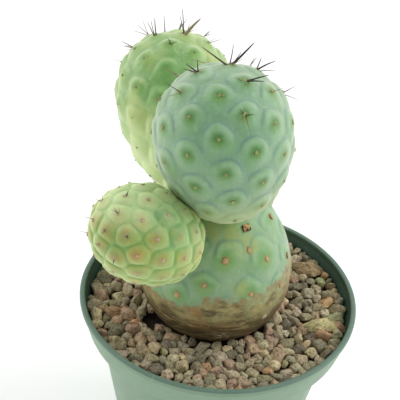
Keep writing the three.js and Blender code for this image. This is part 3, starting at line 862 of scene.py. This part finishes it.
def new_skin(name, **tints):
    """A joint's skin material with waxy skin in it, and what its last tints need."""
    material, tree, shader = new_material(name)
    place = place_of(tree)
    inputs = {tint.replace("_", " ").title(): value for tint, value in tints.items()}
    colour, roughness = use(waxy_skin, tree, {"Place": place, **inputs})
    give(shader, {"Roughness": roughness, "Specular IOR Level": 0.42, "Subsurface Weight": 0.12})
    give(shader, {"Subsurface Radius": (0.5, 1.0, 0.3), "Subsurface Scale": 1.2 * MM})
    return material, tree, shader, place, colour


power = sums("POWER")


def close_skin(shader, place, colour, pale, sheen_share=0.75, extra_height=None):
    """The last fine mottling, a pale painted sheen along the edges, and the bump of a skin's surface cells."""
    colour, height = mottled(colour, place, 1.3 * MM, 0.2)
    # Painted sheen: where the surface turns away from the view, the colour is blended toward the pale one.
    edge = put(shader.id_data, "ShaderNodeLayerWeight", {"Blend": 0.35}).outputs["Facing"]
    give(shader, {"Base Color": tinted(colour, power(edge, 1.6), sheen_share, pale)})
    if extra_height is not None:
        height = plus(height, extra_height)
    add_bump(shader, height, 0.35, 0.12 * MM)


def height_of(place):
    return put_after({0: place}, "ShaderNodeSeparateXYZ")["Z"]


# The base's skin turns from waxy green above to bark below. The bark is furrowed and ringed, pale
# with lichen higher up, rusty in places, and darkened toward its foot as painted shade.
larger = sums("MAXIMUM")
base_skin, tree, shader, place, colour = new_skin(
    "base_skin",
    flesh=(0.18, 0.38, 0.12), bloom=(0.29, 0.44, 0.24), halo=(0.13, 0.33, 0.08),
    halo_below=(0.24, 0.4, 0.11), hollow=(0.25, 0.39, 0.28), groove=(0.11, 0.25, 0.155),
    shoulder=(0.36, 0.54, 0.31), halo_size=4.6, groove_share=0.52,
)
yellowing = times(fade(grain(place, 12 * MM), 0.52, 0.68), 0.4)
yellowing = larger(yellowing, kept(tree, "yellow"))
off_lines = minus(0.75, times(kept(tree, "line"), 0.6))
colour = tinted(colour, yellowing, off_lines, (0.36, 0.43, 0.13))
scabbed = fade(kept(tree, "from_areole"), 2.1, 0.7)
colour = tinted(colour, scabbed, 0.55, (0.34, 0.24, 0.11))

corky = kept(tree, "cork")
border = times(corky, minus(1.0, corky))
ragged = times(minus(grain(place, 2.6 * MM, 6.0), 0.5), 9.0)
cork = fade(plus(corky, times(ragged, border)), 0.3, 0.9)
height_now = height_of(place)
strands = stretched(place, (1, 1, 2.4))
bark = blend(fade(grain(strands, 5 * MM, 7.0), 0.26, 0.72), DARK_BARK, LIGHT_BARK)
lichen = times(fade(grain(place, 6 * MM, 4.0), 0.46, 0.6), fade(height_now, 84 * MM, 97 * MM))
bark = tinted(bark, lichen, 0.8, LICHEN)
bark = tinted(bark, fade(grain(place, 8 * MM, 6.0), 0.5, 0.38), 0.7, RUST)
# Painted shade: the bark is darkened toward its foot, along an uneven line.
uneven_shade_line = times(minus(grain(place, 7 * MM), 0.5), 12 * MM)
bark = tinted(bark, fade(plus(height_now, uneven_shade_line), 94 * MM, 82 * MM), 0.93, PAINTED_SHADE_FOOT)
rings = fade(grain(stretched(place, (0.25, 0.25, 3)), 1.9 * MM, 6.0), 0.5, 0.66)
bark = tinted(bark, times(rings, fade(height_now, 95 * MM, 84 * MM)), 0.75, BARK_RING)
# Painted shade: the bark is darkened in its furrows.
bark = tinted(bark, kept(tree, "crack"), 0.2, BARK_CRACK)
bark = tinted(bark, fade(grain(place, 1.1 * MM), 0.6, 0.7), 0.4, BARK_SPECK)
colour = blend(cork, colour, bark)
rusty_edge = blend(grain(place, 3 * MM), (0.36, 0.34, 0.18), (0.27, 0.145, 0.045))
colour = tinted(colour, times(border, cork), 2.4, rusty_edge)
colour = tinted(colour, kept(tree, "scar"), 0.75, SCAR)
# Pale marks on the bark: a raised white dot and a smear of pale squiggles.
colour = tinted(colour, kept(tree, "pale_marks"), 0.85, PALE_MARK)

bark_height = times(grain(strands, 0.9 * MM, 5.0), 3.0)
# Painted sheen colour for the base's edges: pale green on the skin, pale on the upper bark, dark on the low
# bark.
bark_edge_sheen = blend(fade(height_now, 85 * MM, 95 * MM), (0.14, 0.1, 0.045), (0.48, 0.43, 0.26))
edge_sheen = blend(cork, (0.5, 0.62, 0.5), bark_edge_sheen)
close_skin(shader, place, colour, edge_sheen, 0.75, times(cork, bark_height))
finish_piece(base, base_skin, "base_segment")

# A brown crust, about 3 mm square, covers one old areole near the front joint's
# foot. It is dried sap and cork that has cracked, and it sits on the skin.
ball, triangles = geodesic(9)
blocky = (np.abs(ball) ** 5).sum(axis=1) ** (-1 / 5)
rough = 1 + 0.09 * ripple(ball, 0.5, 81) + 0.05 * ripple(ball, 0.22, 82)
crust_points = ball * (blocky * rough)[:, None] * (1.55 * MM, 1.3 * MM, 0.75 * MM)
place, normal = on_egg(BASE, unit([CRUST]))
level = unit(np.cross((0, 0, 1), normal[0]))
crust_points = place + crust_points @ np.stack([level, np.cross(normal[0], level), normal[0]])
crust = new_piece("areole_crust", crust_points, triangles)
dry_crust, tree, shader = new_material("dry_crust")
place = place_of(tree)
colour = blend(fade(grain(place, 1.5 * MM), 0.45, 0.6), (0.07, 0.035, 0.012), (0.55, 0.36, 0.15))
colour, height = mottled(colour, place, 0.5 * MM, 0.8)
give(shader, {"Base Color": colour, "Roughness": 0.85})
add_bump(shader, height, 0.7, 0.2 * MM)
finish_piece(crust, dry_crust, "base_segment")

# Each areole is a small cushion of felt with a tuft of short barbed bristles, and near a
# joint's crown it also bears spines. Both grow from the skin, in the middle of a tubercle.
BRISTLE_RADIUS = 0.055 * MM
BRISTLE_TURNS = (0, 2.1, 4.2)
HIDDEN_GAP = 1.2 * MM
SPINE_SIDES = 7
SPINE_RINGS = 10


def around(normals, crown):
    """Ways across a surface: level across it, and uphill toward the crown."""
    level = unit(np.cross(crown, normals))
    return level, np.cross(normals, level)


def spike_faces(first, rings, sides):
    """Faces of a spike whose points are its rings, from the root up, and then its tip."""
    faces = [[first + i for i in reversed(range(sides))]]
    for low in range(first, first + rings * sides, sides):
        for i in range(sides):
            j = (i + 1) % sides
            if low < first + (rings - 1) * sides:
                faces.append([low + i, low + j, low + sides + j, low + sides + i])
            else:
                faces.append([low + i, low + j, low + sides])
    return faces


def areole_places(segment):
    smooth, normals = on_egg(segment, segment.areole_ways)
    height = tubercles(segment, segment.areole_ways)["height"]
    return smooth + normals * height[:, None], normals


def areole_tufts(name, segment, neighbours, felt_radius, bristles, bristle_length, seed, lowest=80 * MM):
    """The felt cushions and bristles of every areole that isn't hidden in a joint, in gravel or in cork."""
    draw = np.random.default_rng(seed)
    ball, triangles = geodesic(3)
    places, normals = areole_places(segment)
    levels, uphills = around(normals, segment.up)
    points, faces, felt, count = [], [], [], 0
    for index, (place, normal, level, uphill) in enumerate(zip(places, normals, levels, uphills)):
        gaps = [from_skin(place[None], neighbour, 0.0)[0][0] for neighbour in neighbours]
        if place[2] < lowest or index in segment.worn_off or min(gaps, default=1) < HIDDEN_GAP:
            continue
        size = felt_radius * draw.uniform(0.8, 1.15)
        lumps = 1 + 0.3 * ripple(ball, 0.5, draw.integers(1e6), 12)
        pad = ball * lumps[:, None] * size * (1, draw.uniform(1, 1.35), 0.45)
        points.append(place + pad @ np.stack([level, uphill, normal]))
        faces.extend((triangles + count).tolist())
        rim = smoothstep(np.hypot(ball[:, 0], ball[:, 1]), 0.45, 0.95)
        felt.extend((1 - 0.75 * rim * draw.uniform(0.4, 1)).tolist())
        count += len(ball)
        for _ in range(draw.integers(bristles // 2, bristles + 1)):
            turn, tilt = draw.uniform(0, 2 * math.pi), draw.uniform(0.2, 1.25)
            side = math.cos(turn) * level + math.sin(turn) * uphill
            way = unit(normal * math.cos(tilt) + (side + 0.35 * uphill) * math.sin(tilt))
            foot = place + side * size * 0.6 * math.sin(tilt) + normal * size * 0.2
            first, second = around(way[None], unit(segment.crown + 0.1 * normal))
            ring = [math.cos(turn) * first[0] + math.sin(turn) * second[0] for turn in BRISTLE_TURNS]
            tip = foot + way * bristle_length * draw.uniform(0.5, 1.15)
            points.append(np.array([*(foot + BRISTLE_RADIUS * np.array(ring)), tip]))
            faces.extend(spike_faces(count, 1, 3))
            felt.extend([-1.0] * 4)
            count += 4
    tufts = new_piece(name, np.concatenate(points), faces)
    paint(tufts, "felt", felt)
    return tufts


# Felt is shared by the areoles of all four joints: a cushion
# of wool, darker round its rim, with barbed bristles.
felt_wool, given, results = new_group(
    "felt_wool",
    {"Place": "Vector", "Wool": "Color", "Rim": "Color", "Bristles": "Color"},
    {"Colour": "Color", "Height": "Float"},
)
felt = kept(felt_wool, "felt")
woolly = blend(fade(felt, 0.0, 1.0), given["Rim"], given["Wool"])
woolly = blend(fade(felt, 0.0, -0.5), woolly, given["Bristles"])
woolly, height = mottled(woolly, given["Place"], 0.7 * MM, 0.8)
give(results, {"Colour": woolly, "Height": height})


def areole_felt(name, wool, rim, bristles):
    material, tree, shader = new_material(name)
    inputs = {"Place": place_of(tree), "Wool": wool, "Rim": rim, "Bristles": bristles}
    colour, height = use(felt_wool, tree, inputs)
    give(shader, {"Base Color": colour, "Roughness": 0.95, "Sheen Weight": 0.3})
    add_bump(shader, height, 0.6, 0.1 * MM)
    return material


def spine_tube(root, tip, bend, thickness):
    """Points of one spine: thickest just above its root, tapering to a point, and bent a little."""
    way = unit(tip - root)
    first = unit(np.cross(way, (0.3, 0.5, 0.8)))
    second = np.cross(way, first)
    turn = np.arange(SPINE_SIDES) / SPINE_SIDES * 2 * math.pi
    circle = np.cos(turn)[:, None] * first + np.sin(turn)[:, None] * second
    points = []
    for share in np.linspace(0, 1, SPINE_RINGS, endpoint=False):
        middle = root + (tip - root) * share + bend * share * (1 - share)
        radius = thickness * (0.7 * (1 - share) ** 0.45 + 0.3 * bell(share, 0.12))
        points.extend(middle + circle * radius)
    return points + [tip]


def spine_piece(name, segment, listed, spiny, length, seed):
    """The spines that the photograph shows, and others like them on the crown areoles that it hides.

    For each areole they are listed as (reach x, y and z in mm, thickness in mm, darkness from 0 to 1).
    """
    draw = np.random.default_rng(seed)
    places, normals = areole_places(segment)
    wanted = []
    for index, spines in listed.items():
        wanted += [(index, np.array(reach) * MM, size * MM, dark) for *reach, size, dark in spines]
    for index in [index for index in range(spiny) if index not in listed]:
        normal = normals[index]
        away = unit(normal * (normal @ segment.up) - segment.up)
        across = np.cross(normal, away)
        for _ in range(draw.integers(2, 5)):
            side, tilt = draw.uniform(-1, 1), draw.uniform(0.2, 0.9)
            way = unit(normal * math.cos(tilt) + (away + side * across) * math.sin(tilt))
            reach = way * length * draw.uniform(0.4, 1)
            wanted.append((index, reach, draw.uniform(0.18, 0.32) * MM, draw.uniform(0.4, 1)))
    points, faces, along, darkness = [], [], [], []
    for index, reach, thickness, dark in wanted:
        first = len(points)
        spread = draw.uniform(-0.35, 0.35, 3) * MM
        root = places[index] + spread - normals[index] * 0.5 * MM
        bend = (draw.uniform(-0.12, 0.12, 3) + 0.1 * normals[index]) * np.linalg.norm(reach)
        points.extend(spine_tube(root, places[index] + reach, bend, thickness))
        faces.extend(spike_faces(first, SPINE_RINGS, SPINE_SIDES))
        along.extend(np.repeat(np.arange(SPINE_RINGS) / SPINE_RINGS, SPINE_SIDES).tolist() + [1.0])
        darkness.extend([dark] * (SPINE_RINGS * SPINE_SIDES + 1))
    spines = new_piece(name, points, faces)
    paint(spines, "along", along)
    paint(spines, "darkness", darkness)
    return spines


dark_spine, tree, shader = new_material("spine")
place = place_of(tree)
colour = blend(kept(tree, "darkness"), (0.5, 0.4, 0.2), (0.03, 0.026, 0.024))
colour = tinted(colour, fade(kept(tree, "along"), 0.16, 0.02), 0.6, (0.22, 0.15, 0.06))
colour, height = mottled(colour, place, 0.8 * MM, 0.7)
give(shader, {"Base Color": colour, "Roughness": 0.42})
add_bump(shader, height, 0.3, 0.05 * MM)

base_tufts = areole_tufts("base_areoles", BASE, [], 0.95 * MM, 7, 0.6 * MM, 60, CORK_EDGE - 4 * MM)
corky_felt = areole_felt("corky_felt", (0.54, 0.36, 0.16), (0.17, 0.08, 0.03), (0.2, 0.12, 0.05))
finish_piece(base_tufts, corky_felt, "base_segment")

# The front segment is a younger joint that grew from the base's crown: blue-green flesh under a waxy bloom,
# with broad flat tubercles and crescent grooves. It presses down on the base and carries the darkest spines.
FRONT = Segment(
    foot=(1.2, -11.1, 125.3), lean=(-0.164, 0.002, 1), length=53.8, radius=22.4, taper=0.136,
    bluntness=0.915, crown=(-0.026, 0.021, 1), areoles=66, first_turn=269.9, turn=-137.93, crowding=0.085,
    areole_rise=0.02, relief=0.9, dome=0.75, crease=0.3, flank_groove=0.12, crease_inset=0.06,
    corner_rounding=0.2, line_width=0.34,
)
front, ball, smooth = skin_piece("front_joint", FRONT, [BASE])
blue_skin, tree, shader, place, colour = new_skin(
    "blue_skin",
    flesh=(0.15, 0.36, 0.12), bloom=(0.255, 0.455, 0.24), halo=(0.06, 0.19, 0.03),
    halo_below=(0.15, 0.31, 0.05), hollow=(0.19, 0.315, 0.25), groove=(0.12, 0.235, 0.225),
    shoulder=(0.36, 0.54, 0.34), halo_size=3.3, groove_share=0.66,
)
colour = tinted(colour, fade(kept(tree, "from_foot"), 0.42, 0.0), 0.8, (0.5, 0.61, 0.18))
# The pale colour given last is painted sheen along the edges.
close_skin(shader, place, colour, (0.65, 0.69, 0.54))
finish_piece(front, blue_skin, "front_segment")

FRONT_SPINES = {
    0: [(7, 2.5, 7.2, 0.62, 1), (0.4, 2.5, 6.2, 0.3, 0.9), (3.2, 1.2, 4.4, 0.3, 0.8),
        (4.4, -1, 3.4, 0.18, 0.3), (2.2, -2.4, 2.2, 0.16, 0.2), (-9.6, 1.5, 4.8, 0.5, 0.85)],
    5: [(-6, 1, 0.5, 0.22, 0.4)],
    2: [(-4.2, -1, 2.8, 0.42, 1), (-0.7, 0.5, 3.8, 0.3, 1), (-4.6, -2.2, 1.5, 0.4, 0.95),
        (-3, -3.5, 1, 0.18, 0.5), (2, -2.4, 1.4, 0.16, 0.3)],
    3: [(1.2, 1, 4, 0.34, 1), (5.8, 0, 3.4, 0.44, 1), (5.8, -3.5, 1.8, 0.22, 0.8)],
    1: [(7, -2.8, 3.9, 0.46, 1), (5.8, -3.6, 2, 0.42, 1), (-3.4, -1.4, 1.4, 0.2, 0.6),
        (0.6, -5, 0.5, 0.17, 0.8), (-3, -2, 2, 0.14, 0.5)],
    11: [(4, 0.5, 2.4, 0.22, 0.9), (5.4, -3, -1, 0.18, 0.8)],
    7: [(-5, -2, 4, 0.26, 0.9), (-3.6, -4.6, 0.4, 0.2, 0.6)],
    15: [(-3.6, -1, 0.8, 0.18, 0.2), (-3.2, -2, -0.2, 0.16, 0.2)],
    6: [(3.4, -1.2, 2.2, 0.16, 0.6), (-1, -2.4, 2.2, 0.12, 0.2)],
    14: [(1.5, -2.2, 0.8, 0.12, 0.15), (-0.4, -2.4, 0.6, 0.1, 0.1)],
    9: [(-1.8, -0.8, 2.2, 0.26, 0.9), (2.9, -1.8, 1.3, 0.28, 1), (2, -6.8, -2.6, 0.18, 0.8),
        (0, -3.4, -1.3, 0.1, 0), (0.8, -3.6, -1.5, 0.1, 0)],
    12: [(-3, -3, 0.5, 0.15, 0.5)],
    4: [(1.4, -2.2, 1.4, 0.17, 0.1), (-1.6, -1.9, 1.3, 0.16, 0.1), (1.9, -2.4, -0.9, 0.15, 0.1),
        (-0.4, -2.4, -1.4, 0.13, 0.5)],
}
front_tufts = areole_tufts("front_areoles", FRONT, [BASE], 0.56 * MM, 16, 1.2 * MM, 61)
cream_felt = areole_felt("cream_felt", (0.4, 0.43, 0.13), (0.13, 0.2, 0.04), (0.56, 0.5, 0.24))
finish_piece(front_tufts, cream_felt, "front_segment")
front_spines = spine_piece("front_spines", FRONT, FRONT_SPINES, 15, 7.5 * MM, 71)
finish_piece(front_spines, dark_spine, "front_segment")

# The back segment grew behind the front one: a pear-shaped joint whose skin is variegated, light green
# with soft yellow patches where it has little leaf green. Its tubercles are low and its spines thin.
BACK = Segment(
    foot=(-11.5, 26.7, 105), lean=(-0.29, 0.414, 1), length=64.5, radius=22.4, taper=0.17, bluntness=0.927,
    crown=(-0.35, 0.546, 1), areoles=84, first_turn=256.1, turn=137.66, crowding=0.206, areole_rise=0.03,
    relief=1.05, dome=0.95, crease=0.28, flank_groove=0.14, crease_inset=0.05, corner_rounding=0.2,
    line_width=0.45,
)
BACK_YELLOW = [(-8.6, 37, 159, 6), (-34, 21.8, 141.4, 7), (-36, 25, 147, 5)]
BACK_YELLOW += [(2, 45, 150, 9), (-20, 62, 140, 12)]
BACK_GREEN = [(-24, 26, 157.5, 8), (-30.5, 23, 150.5, 5), (-15, 26, 152, 7), (-40, 45, 150, 8)]
back, ball, smooth = skin_piece("back_joint", BACK, [BASE])
paint(back, "yellow", patches_at(smooth, BACK_YELLOW, 91))
paint(back, "leaf_green", patches_at(smooth, BACK_GREEN, 93))
yellow_skin, tree, shader, place, colour = new_skin(
    "yellow_skin",
    flesh=(0.18, 0.39, 0.09), bloom=(0.31, 0.5, 0.19), halo=(0.1, 0.27, 0.04),
    halo_below=(0.25, 0.44, 0.08), hollow=(0.24, 0.43, 0.18), groove=(0.16, 0.34, 0.13),
    shoulder=(0.52, 0.68, 0.34), halo_size=3.2, groove_share=0.6,
)
uneven = times(minus(kept(tree, "tubercle_tint"), 0.5), 0.4)
patches = fade(plus(grain(place, 9 * MM, 4.0), uneven), 0.46, 0.66)
patches = larger(times(patches, 0.6), kept(tree, "yellow"))
patches = times(patches, minus(1.0, kept(tree, "leaf_green")))
colour = tinted(colour, patches, 0.6, (0.5, 0.58, 0.18))
colour = tinted(colour, kept(tree, "leaf_green"), 0.6, (0.16, 0.38, 0.1))
colour = tinted(colour, fade(kept(tree, "from_foot"), 0.75, 0.2), 0.88, (0.8, 0.95, 0.46))
# The pale colour given last is painted sheen along the edges.
close_skin(shader, place, colour, (0.72, 0.8, 0.5))
finish_piece(back, yellow_skin, "back_segment")

BACK_SPINES = {
    1: [(-6.2, -1, 1.8, 0.2, 0.6), (-5, 0.5, 4, 0.2, 0.7), (-2.8, 1.5, 6, 0.18, 0.6)],
    4: [(-0.5, 1, 7, 0.36, 0.9), (-3.2, 0.2, 5.2, 0.3, 0.9), (-1.8, 0.5, 5.8, 0.26, 0.8)],
    0: [(-0.6, 1, 7, 0.28, 0.8)],
    7: [(-1.6, 0.8, 10, 0.34, 0.8), (-2.2, 0.3, 7, 0.26, 0.8), (-0.8, 0.3, 4.5, 0.24, 0.8),
        (5.8, -0.9, 6.8, 1.0, 0.35), (4.6, -2, 3, 0.18, 0.5)],
    9: [(-4.6, -2, 1.6, 0.18, 0.6), (-4.4, -3.2, 0.4, 0.16, 0.5)],
    15: [(5, -1.2, 2.2, 0.22, 0.3), (3.6, -2, 3, 0.16, 0.2)],
    14: [(-3, -0.6, 1.2, 0.14, 0.5)],
}
back_tufts = areole_tufts("back_areoles", BACK, [BASE, FRONT], 0.36 * MM, 9, 0.75 * MM, 62)
brown_felt = areole_felt("brown_felt", (0.32, 0.31, 0.11), (0.13, 0.17, 0.05), (0.2, 0.15, 0.07))
finish_piece(back_tufts, brown_felt, "back_segment")
back_spines = spine_piece("back_spines", BACK, BACK_SPINES, 17, 6 * MM, 72)
finish_piece(back_spines, dark_spine, "back_segment")

# The left segment is the smallest joint. It leans out toward the rim of the
# pot and rests against the front one: yellow-green, greener underneath and
# painted paler on top as painted light, with crisp six-sided tubercles, thin
# grooves and a tan flush round each areole.
LEFT = Segment(
    foot=(-12.4, -17.9, 114.3), lean=(-1.045, -0.851, 1), length=42.4, radius=16, taper=0.015,
    bluntness=0.929, crown=(-1.085, -0.993, 1), areoles=71, first_turn=92.7, turn=-137.71, crowding=0.086,
    areole_rise=0.02, relief=0.62, dome=0.95, crease=0.3, cell_edge=0.36, flank_groove=0.7,
    crease_inset=0.02, corner_rounding=0.16, line_width=0.28,
)
LEFT_GREEN = [(-19, -36, 138, 9), (-14, -33, 134, 8), (-34, -40, 132, 6)]
left, ball, smooth = skin_piece("left_joint", LEFT, [BASE, FRONT])
paint(left, "leaf_green", patches_at(smooth, LEFT_GREEN, 95))
flushed_skin, tree, shader, place, colour = new_skin(
    "flushed_yellow_skin",
    flesh=(0.34, 0.41, 0.07), bloom=(0.275, 0.4, 0.05), halo=(0.46, 0.27, 0.08),
    halo_below=(0.39, 0.34, 0.075), hollow=(0.29, 0.44, 0.15), groove=(0.13, 0.31, 0.07),
    shoulder=(0.48, 0.57, 0.17), halo_size=4.5, groove_share=0.7,
)
colour = tinted(colour, fade(grain(place, 9 * MM, 4.0), 0.44, 0.58), 0.4, (0.17, 0.39, 0.09))
# Painted light: the top of the joint is painted paler, where it faces up.
colour = tinted(colour, fade(height_of(place), 136 * MM, 145 * MM), 0.6, (0.62, 0.8, 0.42))
veined = ranged(fade(grain(place, 3.2 * MM, 6.0), 0.42, 0.62), 0.45, 0.85)
colour = tinted(colour, kept(tree, "leaf_green"), veined, (0.16, 0.37, 0.13))
# The pale colour given last is painted sheen along the edges.
close_skin(shader, place, colour, (0.8, 0.95, 0.5), 0.95)
finish_piece(left, flushed_skin, "left_segment")

LEFT_SPINES = {
    4: [(0, 0.2, 2.4, 0.18, 0.9), (-2, -0.7, 1, 0.18, 0.9)],
    1: [(-3, -1, 1.9, 0.18, 0.8)],
    6: [(-2.8, -0.6, 1.5, 0.14, 0.5)],
    2: [(-2, -1.2, 2.4, 0.16, 0.9), (-1.2, -0.8, 2.8, 0.18, 0.9), (0.6, -0.8, 2.8, 0.16, 0.8)],
    3: [(-2, -1.2, 1.5, 0.13, 0.5), (-0.4, -2, 1.2, 0.12, 0.4)],
}
left_tufts = areole_tufts("left_areoles", LEFT, [BASE, FRONT], 0.58 * MM, 12, 0.8 * MM, 63)
rosy_felt = areole_felt("rosy_felt", (0.58, 0.47, 0.28), (0.4, 0.24, 0.13), (0.24, 0.14, 0.07))
finish_piece(left_tufts, rosy_felt, "left_segment")
left_spines = spine_piece("left_spines", LEFT, LEFT_SPINES, 9, 3 * MM, 73)
finish_piece(left_spines, dark_spine, "left_segment")

# The studio: a plain pale floor in a white light tent, a soft key light
# from the upper right, and the camera at the photograph's viewing angle.
CAMERA_PLACE = (-0.0097, -0.2525, 0.2971)
CAMERA_DOWN = math.radians(34.667)
CAMERA_ROLL = math.radians(4.526)
CAMERA_LENS = 77.85

bpy.ops.mesh.primitive_plane_add(size=20, location=(0, 0, -0.0002))
floor = bpy.context.object
floor.name = "studio_floor"
floor_paint, tree, shader = new_material("floor_paint")
give(shader, {"Base Color": (0.9, 0.9, 0.9), "Roughness": 0.9})
give(shader, {"Emission Color": (1, 1, 1), "Emission Strength": 0.2})
floor.data.materials.append(floor_paint)

world = bpy.data.worlds.new("light_tent")
world.use_nodes = True
tree = world.node_tree
TOWARD_CAMERA = (0, -math.cos(CAMERA_DOWN), math.sin(CAMERA_DOWN))
way = put(tree, "ShaderNodeTexCoord").outputs["Generated"]
nearness = put_after({0: way, 1: TOWARD_CAMERA}, "ShaderNodeVectorMath", operation="DOT_PRODUCT")["Value"]
tent = blend(fade(nearness, 0.1, 0.85), (1, 1, 1), (0.5, 0.5, 0.5))
give(tree.nodes["Background"], {"Color": tent, "Strength": 0.98})
bpy.context.scene.world = world


def soft_light(name, place, aim, size, watts):
    light = bpy.data.lights.new(name, "AREA")
    light.size = size
    light.energy = watts
    lamp = bpy.data.objects.new(name, light)
    lamp.location = place
    lamp.rotation_euler = (Vector(aim) - Vector(place)).to_track_quat("-Z", "Y").to_euler()
    bpy.context.scene.collection.objects.link(lamp)


soft_light("key_light", (0.55, 0.05, 0.6), (0, 0, 0.11), 0.45, 2.4)
soft_light("left_light", (-0.7, 0.15, 0.45), (0, 0, 0.11), 0.45, 1.6)

look = bpy.data.cameras.new("photo_camera")
look.lens = CAMERA_LENS
look.sensor_width = 36
look.clip_start = 0.01
camera = bpy.data.objects.new("photo_camera", look)
camera.location = CAMERA_PLACE
camera.rotation_mode = "QUATERNION"
level_turn = Quaternion((1, 0, 0), math.pi / 2 - CAMERA_DOWN)
camera.rotation_quaternion = level_turn @ Quaternion((0, 0, 1), CAMERA_ROLL)
bpy.context.scene.collection.objects.link(camera)
bpy.context.scene.camera = camera
bpy.context.scene.view_settings.view_transform = "Standard"
